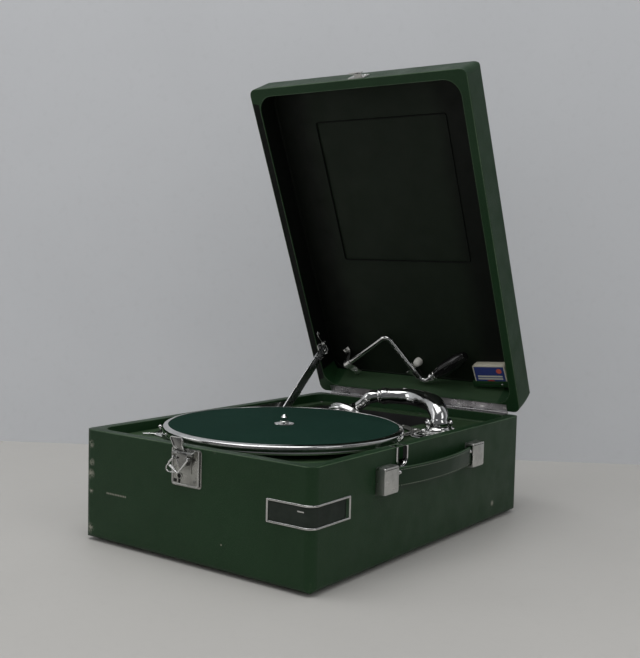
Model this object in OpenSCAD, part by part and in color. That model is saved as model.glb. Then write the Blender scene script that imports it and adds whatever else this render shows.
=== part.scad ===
// Portable gramophone in a leathercloth-covered case, shown open, with the winding handle stowed in the lid.
// The origin is under the middle of the case, on the surface that the feet stand on.
// The latch faces -Y, the hinge is at the back (+Y) and the carrying handle is on the right (+X).

/* [Case] */
// Width of the case, left to right
case_w = 292; // [286:1:304]
// Depth of the case, front to hinge
case_d = 410; // [404:1:424]
// Height of the case without its feet
case_h = 112; // [108:1:124]
// Thickness of the wooden walls
wall_t = 10; // [8:0.5:11]
// Radius of the upright outer corners
corner_r = 9; // [6:0.5:12]
// Radius of the upright inner corners
inner_r = 20; // [16:1:24]
// Radius of the bottom edges
edge_r = 5; // [3:0.5:7]
// Radius of the edge round the rims of the case and the lid
rim_r = 1.5; // [1:0.25:2]
// Thickness of the bottom board
board_t = 6; // [4:0.5:8]
// Height of the rubber feet
foot_h = 3; // [2:0.5:6]
// Radius of the rubber feet
foot_r = 9; // [6:0.5:12]
// Distance of a foot's centre from the walls' outer faces
foot_inset = 28; // [24:1:40]

/* [Deck] */
// Depth of the deck below the rim
deck_drop = 10; // [8:0.5:11]
// Thickness of the deck plate
deck_t = 3; // [2:0.5:4]
// Width of the ledge that carries the deck
ledge_w = 8; // [6:0.5:10]
// Height of the ledge
ledge_h = 10; // [8:0.5:14]
// Gap between the horn's mouth and the left wall
mouth_left = 14; // [12:1:26]
// Gap between the horn's mouth and the tone arm's pivot
mouth_right = 41; // [35:1:53]
// Front edge of the horn's mouth, in front of the tone arm's pivot
mouth_front = 12; // [8:1:14]
// Gap between the horn's mouth and the back wall
mouth_back = 11; // [9:1:17]
// Thickness of the horn's sheet metal
horn_t = 1.2; // [0.8:0.1:2]
// Depth of the horn below the deck
horn_depth = 84; // [70:1:86]

/* [Lid] */
// Height of the lid
lid_h = 35; // [34:0.5:40]
// Thickness of the lid's top board
lid_top_t = 4; // [3:0.25:4.5]
// Thickness of the lining inside the lid
lining_t = 2; // [1.5:0.25:2.5]
// Radius of the lid's top edges
lid_edge_r = 4.5; // [3:0.5:6]
// How far the lid's back wall leans in over its height
back_lean = 10.8; // [6:0.2:14]
// Angle that the lid stands open
open_angle = 66.6; // [60:0.1:72]
// Side of the square recess in the lining
panel_side = 177; // [150:1:185]
// Depth of the recess
panel_depth = 1.2; // [0.6:0.1:1.4]
// Distance of the hinge pin behind the case
hinge_out = 2.8; // [2.8:0.1:3.6]
// Outer radius of the hinge's knuckles
knuckle_r = 2.4; // [2:0.1:2.4]
// Radius of the hinge pin
hinge_pin_r = 1.2; // [0.8:0.1:1.4]
// Length of the piano hinge
hinge_len = 258; // [200:1:264]
// Number of knuckles along the hinge
knuckles = 17; // [9:2:25]
// Width of a hinge leaf on the rim
leaf_w = 9; // [7:0.5:10]
// Thickness of a hinge leaf
leaf_t = 0.9; // [0.6:0.1:1.2]

/* [Turntable] */
// Diameter of the turntable
platter_d = 254; // [240:1:260]
// Height of the turntable's felt above the case's rim
platter_rise = 4.6; // [3:0.1:6]
// Height of the turntable's chromed side
platter_side = 9.5; // [8:0.25:9.5]
// Distance of the spindle in front of the middle of the case
spindle_back = 60; // [56:1:64]
// Radius of the record spindle
spindle_r = 3.6; // [3.4:0.05:3.65]
// Height of the spindle's tip above the felt
spindle_tip = 10; // [8:0.5:12]
// Thickness of the felt
felt_t = 1.2; // [0.8:0.1:2]

/* [Motor] */
// Module of the barrel's teeth
barrel_m = 1.25; // [1.1:0.05:1.3]
// Teeth on the barrel
barrel_teeth = 64; // [60:1:66]
// Teeth on the intermediate pinion
inter_pinion_teeth = 12; // [12:1:14]
// Module of the intermediate wheel's teeth
train_m = 1; // [0.9:0.05:1.05]
// Teeth on the intermediate wheel
inter_teeth = 60; // [56:1:62]
// Teeth on the spindle's pinion
spindle_pinion_teeth = 15; // [14:1:17]
// Distance of the barrel's arbor to the right of the spindle
barrel_x = 52; // [51.5:0.25:54]
// Height of the spring barrel
barrel_h = 26; // [22:0.5:28]
// Turns of the mainspring
spring_turns = 9; // [6:1:12]
// Thickness of the mainspring's strip
spring_t = 0.8; // [0.6:0.1:1.2]
// Thickness of a motor plate
motor_plate_t = 2.5; // [2:0.25:3]
// Gap between the deck and the motor's top plate, filled by rubber bushes
motor_drop = 5.5; // [4:0.5:6]
// Gap between the motor's two plates
motor_gap = 71.5; // [70:0.5:74]
// Radius of the main shafts
shaft_r = 4; // [3.5:0.25:4.5]
// Radial running clearance of a shaft in its bore
run_gap = 0.05; // [0.02:0.01:0.08]

/* [Governor] */
// Module of the worm and its wheel
worm_m = 0.8; // [0.7:0.05:0.9]
// Teeth on the worm wheel
worm_teeth = 45; // [42:1:46]
// Starts of the governor's worm
worm_starts = 3; // [2:1:4]
// Pitch radius of the worm
worm_r = 5; // [4.5:0.25:6]
// Radius of the governor's friction disc
gov_disc_r = 12; // [9:0.5:13]
// Radius at which the governor's weights ride
gov_weight_orbit = 9.5; // [8:0.5:10]
// Radius of one weight
gov_weight_r = 3.6; // [3:0.2:4]

/* [Winding] */
// Teeth on the winding pinion
wind_pinion_teeth = 11; // [10:1:12]
// Teeth on the crown wheel
crown_teeth = 42; // [40:1:44]
// Outer radius of the crown wheel
crown_r = 32; // [30:0.5:33]
// Width of the crown wheel's teeth
crown_face = 7; // [5:0.5:8]
// Radius of the winding handle's rod
rod_r = 3.3; // [3:0.1:3.5]
// Height of the winding rod's axis below the rim, at the right face
exit_drop = 11.7; // [10:0.1:13]
// Distance of the winding slot in front of the middle of the case
slot_back = 62; // [60:1:64]
// Width of the winding slot
slot_w = 8.5; // [8:0.1:9.5]

/* [Tone arm] */
// Position of the tone arm's pivot to the right of the middle
arm_x = 103; // [98:0.5:106]
// Position of the tone arm's pivot behind the middle
arm_y = 88; // [86:0.5:94]
// Radius of the tone arm's tube at its foot
arm_foot_r = 10; // [9:0.25:10.5]
// Radius of the soundbox
soundbox_r = 28.5; // [26:0.5:30]
// Thickness of the soundbox
soundbox_t = 14; // [11:0.5:15]
// Radius of the neck that carries the soundbox
neck_r = 5.5; // [5:0.25:6]
// Radius of the steel needle
needle_r = 0.8; // [0.6:0.1:1]

/* [Stay] */
// Length of the stay between its two pivots
stay_len = 109; // [108:0.25:110]
// Width of the stay's strip
stay_w = 11.5; // [10:0.5:12]
// Thickness of the stay's strip
stay_t = 2; // [1.5:0.25:2.5]
// Angle of the stay to the horizontal with the lid open
stay_open_tilt = 41.8; // [41:0.1:42.5]
// Angle of the stay to the horizontal with the lid closed
stay_shut_tilt = 10.5; // [9.5:0.1:11.5]
// Radius of the pin that runs in the slot
stay_pin_r = 2.2; // [1.8:0.1:2.4]

/* [Handle and latch] */
// Height of the carrying strap
strap_h = 19; // [16:0.5:21]
// Thickness of the carrying strap
strap_t = 5; // [4:0.5:6]
// How far the strap bows out from the wall
strap_bow = 9; // [8:0.5:14]
// Distance between the middles of the handle's two clips
clip_span = 176; // [170:1:184]
// Width of a handle clip along the wall
clip_w = 25; // [22:1:28]
// Height of a handle clip
clip_h = 26; // [24:0.5:28]
// Width of the latch plate
latch_w = 38.5; // [34:0.5:42]
// Height of the latch plate
latch_h = 37; // [34:0.5:38]
// Position of the latch's middle to the right of the middle of the case
latch_x = -2.5; // [-8:0.5:4]

/* [Needle tray] */
// Length of the tray's window in the front
tray_len = 49; // [46:0.5:50]
// Height of the tray's window
tray_h = 17; // [15:0.5:19]
// Distance of the tray's window below the rim
tray_drop = 36; // [32:1:44]
// Distance of the tray's pin from the right face
tray_pin_in = 6.5; // [6:0.1:7]
// Distance of the tray's pin from the front face
tray_pin_back = 49; // [47:0.5:52]
// Radius of the tray's pin
tray_pin_r = 1.5; // [1.2:0.1:1.8]
// Diameter of the bezel's wire
bezel_wire = 2.3; // [1.8:0.1:2.6]

/* [Winding handle] */
// Length of the handle's shaft
crank_shaft = 87; // [82:1:92]
// Length of the handle's throw
crank_throw = 76; // [72:1:80]
// Length of the barrel grip
grip_len = 58; // [50:1:62]
// Largest radius of the grip
grip_r = 9.2; // [8:0.2:9.6]
// Height of the stowed handle above the rim of the closed lid
crank_rise = 15.5; // [14.5:0.25:16]
// Angle of the stowed shaft in the lid
crank_turn = -33.5; // [-36:0.5:-31]

/* [Needle tin] */
// Width of the needle tin
tin_w = 44; // [40:1:46]
// Length of the needle tin
tin_l = 27; // [24:1:29]
// Thickness of the needle tin
tin_t = 10; // [8:0.5:10.5]

/* [Hidden] */

$fn = 48;
eps = 0.01;
lid_gap = 0.3;
right = case_w / 2;
front = -case_d / 2;
back = case_d / 2;
base_z = foot_h;
rim_z = foot_h + case_h;
deck_z = rim_z - deck_drop;
deck_under = deck_z - deck_t;
in_x = right - wall_t;
in_y = back - wall_t;
mouth_x0 = -in_x + mouth_left;
mouth_x1 = arm_x - mouth_right;
mouth_y0 = arm_y - mouth_front;
mouth_y1 = in_y - mouth_back;

hinge_y = back + hinge_out;
hinge_z = rim_z + lid_gap / 2;
lid_z = rim_z + lid_gap;
lid_top = lid_z + lid_h;
ceiling_z = lid_top - lid_top_t - lining_t;
leaf_from = -hinge_len / 2;
knuckle_len = hinge_len / knuckles;

spindle_y = -spindle_back;
felt_z = rim_z + platter_rise;
platter_top = felt_z - felt_t;
platter_low = platter_top - platter_side + felt_t;

motor_top = deck_under - motor_drop;
plate_low = motor_top - motor_plate_t;
plate_high = plate_low - motor_gap;
motor_low = plate_high - motor_plate_t;
barrel_r = barrel_m * barrel_teeth / 2;
inter_pinion_r = barrel_m * inter_pinion_teeth / 2;
inter_r = train_m * inter_teeth / 2;
spindle_pinion_r = train_m * spindle_pinion_teeth / 2;
barrel_y = -slot_back;
worm_wheel_r = worm_m * worm_teeth / 2;

// The intermediate arbor stands where both its wheels are in mesh
mesh_far = barrel_r + inter_pinion_r;
mesh_near = inter_r + spindle_pinion_r;
train_dx = barrel_x;
train_dy = barrel_y - spindle_y;
train_span = norm([train_dx, train_dy]);
mesh_along = (mesh_near * mesh_near - mesh_far * mesh_far + train_span * train_span) / (2 * train_span);
mesh_side = sqrt(mesh_near * mesh_near - mesh_along * mesh_along);
inter_x = (train_dx * mesh_along - train_dy * mesh_side) / train_span;
inter_y = spindle_y + (train_dy * mesh_along + train_dx * mesh_side) / train_span;
barrel_from_inter = atan2(barrel_y - inter_y, barrel_x - inter_x);
spindle_from_inter = atan2(spindle_y - inter_y, -inter_x);

// The winding shaft slopes down to the point of the bevel gears
wind_tilt = asin(wind_pinion_teeth / crown_teeth);
exit_z = rim_z - exit_drop;
apex_z = exit_z - (right - barrel_x) * tan(wind_tilt);
crown_m = 2 * crown_r / crown_teeth;
crown_low = apex_z - 1.25 * crown_m - 3;
barrel_top = crown_low - 1.2;
barrel_low = barrel_top - barrel_h;
inter_wheel_z = apex_z + 5;
gov_z = barrel_low - 6;
gov_x = -(worm_wheel_r + worm_r);
worm_lead = PI * worm_m * worm_starts;

tray_top = rim_z - tray_drop;
tray_low = tray_top - tray_h;
tray_px = right - tray_pin_in;
tray_py = front + tray_pin_back;
tray_x0 = right - tray_len;
bezel_out = 1.1;
bezel_y1 = tray_py + tray_pin_in + bezel_wire;

// The stay's upper pivot, in the closed lid
stay_x = -in_x + 5.2;
stay_up_y = back - 60;
stay_up_z = rim_z + 6;
stay_slot_gap = 0.4;

// Points that are found from the stowed handle's corner
crank_z = lid_z + crank_rise;
crank_bend = 9;
crank_a = [-in_x + 31, back - 34];

silver = [0.82, 0.83, 0.84];
steel = [0.55, 0.56, 0.58];
brass = [0.72, 0.58, 0.28];
green = [0.13, 0.2, 0.14];
dark_green = [0.07, 0.1, 0.06];
black = [0.06, 0.06, 0.06];
wood = [0.42, 0.3, 0.18];

// Flat outline with round corners, centred
module round_plate(w, d, r) {
    square([w - 2 * r, d], center = true);
    square([w, d - 2 * r], center = true);
    for (sx = [-1, 1], sy = [-1, 1])
        translate([sx * (w / 2 - r), sy * (d / 2 - r)])
            circle(r);
}

// The same outline between two corners
module round_plate_between(x0, y0, x1, y1, r) {
    translate([(x0 + x1) / 2, (y0 + y1) / 2])
        round_plate(x1 - x0, y1 - y0, r);
}

// Flat bar with round ends between two points
module link_outline(a, b, w) {
    d = b - a;
    translate(a)
        rotate(atan2(d[1], d[0])) {
            translate([0, -w / 2])
                square([norm(d), w]);
            circle(w / 2);
            translate([norm(d), 0])
                circle(w / 2);
        }
}

// Outline with a radius of its own at the lower and the upper corners, from u0 to u1 and v0 to v1
module soft_profile(u0, u1, v0, v1, low, high) {
    translate([u0 + low, v0])
        square([u1 - u0 - 2 * low, v1 - v0 - high]);
    translate([u0 + high, v1 - high - eps])
        square([u1 - u0 - 2 * high, high + eps]);
    translate([u0, v0 + low])
        square([u1 - u0, v1 - v0 - low - high]);
    for (u = [u0 + low, u1 - low])
        translate([u, v0 + low])
            circle(low);
    for (u = [u0 + high, u1 - high])
        translate([u, v1 - high])
            circle(high);
}

module box(x0, y0, z0, x1, y1, z1) {
    translate([x0, y0, z0])
        cube([x1 - x0, y1 - y0, z1 - z0]);
}

// Extrudes a profile drawn in X and Z along Y
module along_y(y0, y1) {
    translate([0, y1, 0])
        rotate([90, 0, 0])
            linear_extrude(y1 - y0)
                children();
}

// Extrudes a profile drawn in Y and Z along X
module along_x(x0, x1) {
    translate([x0, 0, 0])
        rotate([90, 0, 90])
            linear_extrude(x1 - x0)
                children();
}

// Round rod through flat points, with the same bend at every corner
module rod_path(pts, r, bend, sides = 12, steps = 6) {
    n = len(pts);
    line = [for (i = [0:n - 1]) each (i == 0 || i == n - 1 ? [pts[i]] : bend_points(pts, i, bend, steps))];
    m = len(line);
    verts = [for (i = [0:m - 1], k = [0:sides - 1])
        let (d = unit(line[min(i + 1, m - 1)] - line[max(i - 1, 0)]), a = 360 * (k + 0.5) / sides)
        [line[i][0] - d[1] * r * cos(a), line[i][1] + d[0] * r * cos(a), r * sin(a)]];
    tube(verts, m, sides);
}

// Points round the bend at corner i
function bend_points(pts, i, bend, steps) =
    let (a = unit(pts[i] - pts[i - 1]), b = unit(pts[i + 1] - pts[i]), turn = turn_at(pts, i),
        s = sign(a[0] * b[1] - a[1] * b[0]), c = pts[i] - a * bend * tan(turn / 2) + s * bend * [-a[1], a[0]],
        from = atan2(a[1], a[0]))
    [for (k = [0:steps]) let (h = from + s * turn * k / steps) c + s * bend * [sin(h), -cos(h)]];

// Closes rings of points into a solid
module tube(verts, rings, sides) {
    quads = [for (i = [0:rings - 2], k = [0:sides - 1], half = [0, 1])
        let (a = i * sides + k, b = i * sides + (k + 1) % sides)
        half == 0 ? [b, a, b + sides] : [a + sides, b + sides, a]];
    caps = [[for (k = [0:sides - 1]) k], [for (k = [sides - 1:-1:0]) (rings - 1) * sides + k]];
    polyhedron(verts, concat(quads, caps), convexity = 6);
}

// Angle that the path turns through at point i
function turn_at(pts, i) = let (a = pts[i] - pts[i - 1], b = pts[i + 1] - pts[i])
    acos(max(-1, min(1, a * b / norm(a) / norm(b))));

// Angle of an involute at radius r, from its start on the base circle
function involute_at(r, base) = r <= base ? 0 : let (a = acos(base / r)) tan(a) * 180 / PI - a;

// Half the angle that a tooth fills at radius r
function half_tooth(r, base, teeth, thin) =
    90 / teeth - thin + involute_at(base / cos(20), base) - involute_at(r, base);

// Outline of a spur gear with involute flanks and a little backlash
function gear_outline(m, teeth, backlash = 0.08, steps = 2) =
    let (pitch = m * teeth / 2, base = pitch * cos(20), top = pitch + 0.95 * m, root = pitch - 1.25 * m,
        thin = backlash / 2 / pitch * 180 / PI,
        radii = concat([root], [for (i = [0:steps]) max(root + 0.1, base) + (top - max(root + 0.1, base)) * i / steps]))
    [for (k = [0:teeth - 1], side = [-1, 1], j = [0:len(radii) - 1])
        let (r = side < 0 ? radii[j] : radii[len(radii) - 1 - j],
            a = 360 * k / teeth + side * max(0.05, half_tooth(r, base, teeth, thin)))
        r * [cos(a), sin(a)]];

module spur_gear(m, teeth, h, backlash = 0.08) {
    linear_extrude(h)
        polygon(gear_outline(m, teeth, backlash));
}

// Swept tube through points in space: each ring stands square to the path
function curve_point(p, t) =
    let (n = len(p) - 1, i = min(floor(t), n - 1), f = t - i,
        a = p[max(i - 1, 0)], b = p[i], c = p[i + 1], d = p[min(i + 2, n)])
    ((2 * b) + (c - a) * f + (2 * a - 5 * b + 4 * c - d) * f * f + (3 * b - a - 3 * c + d) * f * f * f) / 2;

function curve_rings(p, per) =
    [for (i = [0:(len(p) - 1) * per]) curve_point(p, i / per)];

function unit(v) = v / norm(v);

function ring_frame(c, i) =
    let (t = unit([for (k = [0:2]) c[min(i + 1, len(c) - 1)][k] - c[max(i - 1, 0)][k]]),
        side = unit(cross(t, [0.35, -0.9, 0.1])))
    [side, cross(t, side)];

module swept_tube(points, per, sides) {
    rings = curve_rings(points, per);
    n = len(rings);
    verts = [for (i = [0:n - 1], k = [0:sides - 1])
        let (f = ring_frame(rings, i), a = 360 * k / sides)
        [rings[i][0], rings[i][1], rings[i][2]] + rings[i][3] * (cos(a) * f[0] + sin(a) * f[1])];
    tube(verts, n, sides);
}

// Turns what is drawn in the closed lid to the open position
module in_lid() {
    translate([0, hinge_y, hinge_z])
        rotate([-open_angle, 0, 0])
            translate([0, -hinge_y, -hinge_z])
                children();
}

// Case

module case_block() {
    intersection() {
        translate([0, 0, base_z])
            linear_extrude(case_h)
                round_plate(case_w, case_d, corner_r);
        along_y(front - 1, back + 1)
            soft_profile(-right, right, base_z, rim_z, edge_r, rim_r);
        along_x(-right - 1, right + 1)
            soft_profile(front, back, base_z, rim_z, edge_r, rim_r);
    }
}

// The flat outline of the swinging needle tray, grown by a clearance
module tray_outline(gap) {
    difference() {
        union() {
            intersection() {
                translate([tray_x0 - gap, front - 5])
                    square([tray_len + 5 + gap, tray_pin_back + 5]);
                union() {
                    translate([tray_px, tray_py])
                        circle(tray_pin_back + 4 + gap);
                    translate([tray_x0 - gap, front - 5])
                        square([tray_len, wall_t + 5]);
                }
                round_plate(case_w, case_d, corner_r);
            }
            translate([tray_px, tray_py])
                circle(tray_pin_in - 0.3 + gap);
        }
        translate([right - tray_len * 0.62 - gap, tray_py])
            circle(tray_len * 0.38 - gap);
    }
}

module case_body() {
    color(green)
        difference() {
            union() {
                difference() {
                    case_block();
                    translate([0, 0, base_z - 1])
                        linear_extrude(case_h + 2)
                            round_plate(2 * in_x, 2 * in_y, inner_r);
                }
                translate([0, 0, deck_under - ledge_h])
                    linear_extrude(ledge_h)
                        difference() {
                            round_plate(2 * in_x + 1, 2 * in_y + 1, inner_r);
                            round_plate(2 * (in_x - ledge_w), 2 * (in_y - ledge_w), inner_r - ledge_w);
                        }
            }
            translate([0, 0, tray_low - 0.5])
                linear_extrude(tray_h + 1)
                    tray_outline(0.6);
            translate([tray_px, tray_py, tray_low - 9])
                cylinder(r = tray_pin_r + run_gap, h = tray_h + 18);
            winding_way(slot_w / 2);
            box(-in_x - eps, stay_slot_y0, deck_under - ledge_h - 1, -in_x + ledge_w + 1, stay_slot_y1, rim_z);
            hinge_mortise(rim_z - leaf_t, rim_z + 1);
            box(right - wall_t - 1, -slot_back - 10.7, rim_z - 1, right + 1, -slot_back + 10.7, rim_z + 1);
        }
}

// The way that the winding rod takes through the wall, the ledge and the deck
module winding_way(r) {
    translate([barrel_x, barrel_y, apex_z])
        rotate([0, 90 - wind_tilt, 0])
            translate([0, 0, wind_socket_end - 1])
                cylinder(r = r, h = (right - barrel_x) / cos(wind_tilt) - wind_socket_end + 12);
    box(in_x - ledge_w - 2, -slot_back - r, exit_z - 3, right + 5, -slot_back + r, rim_z + 1);
}

module bottom_board() {
    color(wood)
        translate([0, 0, base_z])
            linear_extrude(board_t)
                round_plate(2 * in_x - 0.4, 2 * in_y - 0.4, inner_r - 0.2);
}

module feet() {
    color(black)
        for (sx = [-1, 1], sy = [-1, 1])
            translate([sx * (right - foot_inset), sy * (back - foot_inset), 0])
                difference() {
                    rotate_extrude()
                        polygon([[0, 0], [foot_r - 0.8, 0], [foot_r, 0.8], [foot_r - 0.6, foot_h], [0, foot_h]]);
                    translate([0, 0, -1])
                        cylinder(r = 2.6, h = 2.2);
                }
}

// One rail of the bezel: straight along the front, round the corner and along the right face
module bezel_rail(z) {
    outer = corner_r + bezel_out;
    translate([0, 0, z])
        linear_extrude(bezel_wire)
            difference() {
                union() {
                    round_plate_between(right - 30, front - bezel_out, right + bezel_out, front + 30, outer);
                    translate([tray_x0 - bezel_wire, front - bezel_out])
                        square([tray_len, 2 * bezel_out]);
                    translate([right - bezel_out, front + 14])
                        square([2 * bezel_out, bezel_y1 - front - 14]);
                }
                round_plate_between(right - 80, front, right, front + 120, corner_r);
            }
}

module corner_bezel() {
    post_h = tray_h + 0.6 + 2 * bezel_wire;
    low = tray_low - 0.3 - bezel_wire;
    color(silver) {
        bezel_rail(low);
        bezel_rail(tray_top + 0.3);
        box(tray_x0 - bezel_wire, front - bezel_out, low, tray_x0, front, low + post_h);
        box(right, bezel_y1 - bezel_wire, low, right + bezel_out, bezel_y1, low + post_h);
    }
}

module slot_escutcheon() {
    plate = 1.2;
    w = 21.4;
    tip = exit_z - 9.7;
    color(silver)
        difference() {
            union() {
                along_x(right, right + plate)
                    translate([-slot_back, 0]) {
                        translate([-w / 2 + 1.5, exit_z - 4])
                            square([w - 3, rim_z - exit_z + 4]);
                        intersection() {
                            translate([0, exit_z - 4 + 6])
                                circle(w / 2 + 1);
                            translate([-w / 2 + 1.5, tip])
                                square([w - 3, 20]);
                            polygon([[-w / 2, exit_z + 10], [-w / 2, tip + 5], [-2, tip], [2, tip], [w / 2, tip + 5],
                                [w / 2, exit_z + 10]]);
                        }
                    }
                box(right - wall_t, -slot_back - w / 2 + 0.3, rim_z - 0.9, right + plate,
                    -slot_back + w / 2 - 0.3, rim_z);
            }
            winding_way(slot_w / 2 - 0.4);
        }
}

// Latch on the front

latch_top = rim_z - 2;
latch_face = front - 1.2;
ear_out = 6;
lever_pin_y = latch_face - 4;
lever_pin_z = latch_top - 4.6;
ear_x0 = latch_x - 12;
ear_x1 = latch_x + 12;
hook_z = latch_top - 13;
hook_t = 0.9;

module latch_plate() {
    color(silver)
        difference() {
            union() {
                along_y(latch_face, front)
                    round_plate_between(latch_x - latch_w / 2, latch_top - latch_h, latch_x + latch_w / 2,
                        latch_top, 3);
                along_y(latch_face - 0.8, latch_face + eps)
                    difference() {
                        round_plate_between(latch_x - latch_w / 2 + 1, latch_top - latch_h + 1,
                            latch_x + latch_w / 2 - 1, latch_top - 1, 2.4);
                        round_plate_between(latch_x - latch_w / 2 + 2.4, latch_top - latch_h + 2.4,
                            latch_x + latch_w / 2 - 2.4, latch_top + 9, 1.4);
                    }
                for (x = [ear_x0 - 1, ear_x1])
                    along_x(x, x + 1)
                        union() {
                            translate([lever_pin_y, lever_pin_z])
                                circle(2.3);
                            translate([lever_pin_y, lever_pin_z - 2.3])
                                square([latch_face - lever_pin_y + eps, 4.6]);
                        }
            }
            along_x(ear_x0 - 3, ear_x1 + 3)
                translate([lever_pin_y, lever_pin_z])
                    circle(1.2 + run_gap);
            along_y(latch_face - 2, front + 2)
                translate([latch_x, hook_z])
                    circle(1.5 + run_gap);
            along_y(latch_face - 2, front + 2)
                union() {
                    translate([latch_x - 8, latch_top - 27])
                        circle(2);
                    translate([latch_x - 9, latch_top - 34])
                        square([2, 6]);
                }
        }
}

// The hook leans clear of the lid's catch until the latch is closed
module latch_hook() {
    lean = 29;
    reach = rim_z + 8 - hook_z;
    color(silver) {
        along_y(latch_face - 0.3 - hook_t, latch_face - 0.3)
            difference() {
                translate([latch_x, hook_z])
                    rotate(lean)
                        union() {
                            circle(4.2);
                            translate([-4.2, 0])
                                square([8.4, reach + 2]);
                            polygon([[-4.2, 15], [-7, 19], [-7, reach + 6], [7, reach + 6], [7, 19], [4.2, 15]]);
                        }
                translate([latch_x - 40, hook_z + reach])
                    square([80, 20]);
            }
        along_y(latch_face - 0.3 - hook_t - 0.7, front)
            translate([latch_x, hook_z])
                circle(1.5);
    }
}

module latch_lever() {
    drop = 14;
    x0 = latch_x - 7.5;
    x1 = latch_x + 7.5;
    color(silver) {
        along_x(ear_x0 - 1.3, ear_x1 + 1.3)
            translate([lever_pin_y, lever_pin_z])
                circle(1.2);
        along_x(ear_x0 + 0.3, ear_x1 - 0.3)
            translate([lever_pin_y, lever_pin_z])
                circle(2.3);
        along_x(latch_x - bail_half - 1.4, latch_x + bail_half + 1.4)
            translate([bail_y, bail_z])
                circle(1);
        along_y(lever_pin_y - 2.3, lever_pin_y - 0.9)
            union() {
                polygon([[x0, lever_pin_z], [x0 + 2.2, lever_pin_z - drop + 5], [x1 - 2.2, lever_pin_z - drop + 5],
                    [x1, lever_pin_z]]);
                translate([latch_x, lever_pin_z - drop + 5.2])
                    circle(5.25);
            }
    }
}

bail_r = 1;
bail_y = lever_pin_y - 2.9;
bail_z = lever_pin_z - 4;
bail_half = 9.4;

// Wire loop that hangs on the lever's stub axles, drawn out to one side
module latch_bail() {
    color(silver)
        difference() {
            union() {
                translate([0, bail_y - 1, 0])
                    rotate([90, 0, 0])
                        rod_path([[latch_x - bail_half, bail_z - 0.6], [latch_x - 16.5, lever_pin_z - 10.5],
                            [latch_x - 3.5, lever_pin_z - 18.5], [latch_x + bail_half, bail_z - 0.6]], bail_r, 2, 10);
                for (s = [-1, 1])
                    along_x(latch_x + s * bail_half - 0.9, latch_x + s * bail_half + 0.9)
                        translate([bail_y, bail_z])
                            circle(2);
            }
            along_x(latch_x - 20, latch_x + 20)
                translate([bail_y, bail_z])
                    circle(1 + run_gap);
        }
}

// Handle

handle_y = -6;
strap_mid_z = rim_z - 27.5;
clip_out = 10.5;
strap_in_x = right + 3;

module handle_clips() {
    mouth = 2.2;
    color(silver)
        for (s = [-1, 1])
            translate([0, handle_y + s * clip_span / 2, strap_mid_z])
                difference() {
                    along_z_block(right, right + clip_out, clip_w, clip_h, 2);
                    translate([right + 1.4, -clip_w / 2 - s * mouth, -strap_h / 2 - 0.4])
                        cube([clip_out - 2.8, clip_w, strap_h + 0.8]);
                }
}

// Block with round upright edges and round outer edges, standing on the right wall
module along_z_block(x0, x1, w, h, r) {
    intersection() {
        along_x(x0, x1)
            round_plate(w, h, r);
        translate([0, 0, -h])
            linear_extrude(2 * h)
                round_plate_between(x0 - r, -w / 2, x1, w / 2, r);
    }
}

// The strap runs straight through each clip and bows out between them
module handle_strap() {
    half = (clip_span - clip_w) / 2 - 0.5;
    tail = clip_w - 4;
    bow_r = (half * half + strap_bow * strap_bow) / (2 * strap_bow);
    centre = strap_in_x + strap_bow - bow_r;
    color(dark_green)
        translate([0, handle_y, strap_mid_z - strap_h / 2])
            linear_extrude(strap_h) {
                intersection() {
                    difference() {
                        translate([centre, 0])
                            circle(bow_r + strap_t, $fn = 200);
                        translate([centre, 0])
                            circle(bow_r, $fn = 200);
                    }
                    translate([strap_in_x - 1, -half])
                        square([60, 2 * half]);
                }
                for (s = [-1, 1])
                    translate([strap_in_x, s > 0 ? half - eps : -half - tail + eps])
                        square([strap_t, tail]);
            }
}

// Hinge

module hinge_mortise(z0, z1) {
    box(leaf_from - 0.1, back - leaf_w - 0.1, z0, -leaf_from + 0.1, back + 1, z1);
}

// Every second knuckle belongs to this leaf
module knuckle_row(first) {
    for (k = [first:2:knuckles - 1]) {
        x0 = leaf_from + k * knuckle_len;
        along_x(x0 + 0.15, x0 + knuckle_len - 0.15)
            translate([hinge_y, hinge_z])
                circle(knuckle_r);
    }
}

module hinge_leaf(first, z0, z1) {
    color(silver)
        difference() {
            union() {
                box(leaf_from, back - leaf_w, z0, -leaf_from, back - 0.2, z1);
                for (k = [first:2:knuckles - 1]) {
                    x0 = leaf_from + k * knuckle_len;
                    box(x0 + 0.15, back - 1, z0, x0 + knuckle_len - 0.15, hinge_y, z1);
                }
                knuckle_row(first);
            }
            along_x(leaf_from - 1, -leaf_from + 1)
                translate([hinge_y, hinge_z])
                    circle(hinge_pin_r + run_gap);
        }
}

module hinge_case_leaf() {
    hinge_leaf(0, rim_z - leaf_t, rim_z);
}

module hinge_lid_leaf() {
    in_lid()
        hinge_leaf(1, lid_z, lid_z + leaf_t);
}

module hinge_pin() {
    color(steel)
        along_x(leaf_from + 0.1, -leaf_from - 0.1)
            translate([hinge_y, hinge_z])
                circle(hinge_pin_r);
}

// Deck and horn

stay_slot_y0 = back - 182;
stay_slot_y1 = back - 83;
speed_x = -in_x + 35;
speed_y = front + 69;

module mouth_outline(grow) {
    round_plate_between(mouth_x0 - grow, mouth_y0 - grow, mouth_x1 + grow, mouth_y1 + grow, 12 + grow);
}

module deck() {
    color(dark_green)
        difference() {
            translate([0, 0, deck_under])
                linear_extrude(deck_t)
                    round_plate(2 * in_x - 0.6, 2 * in_y - 0.6, inner_r - 0.3);
            translate([0, 0, deck_under - 1])
                linear_extrude(deck_t + 2) {
                    mouth_outline(0);
                    translate([0, spindle_y])
                        circle(10);
                    translate([arm_x, arm_y])
                        circle(arm_foot_r + 2);
                    translate([speed_x, speed_y])
                        circle(2.5 + run_gap);
                    translate([-in_x - 1, stay_slot_y0])
                        square([ledge_w + 2, stay_slot_y1 - stay_slot_y0]);
                }
            winding_way(slot_w / 2 + 1);
        }
}

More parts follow.
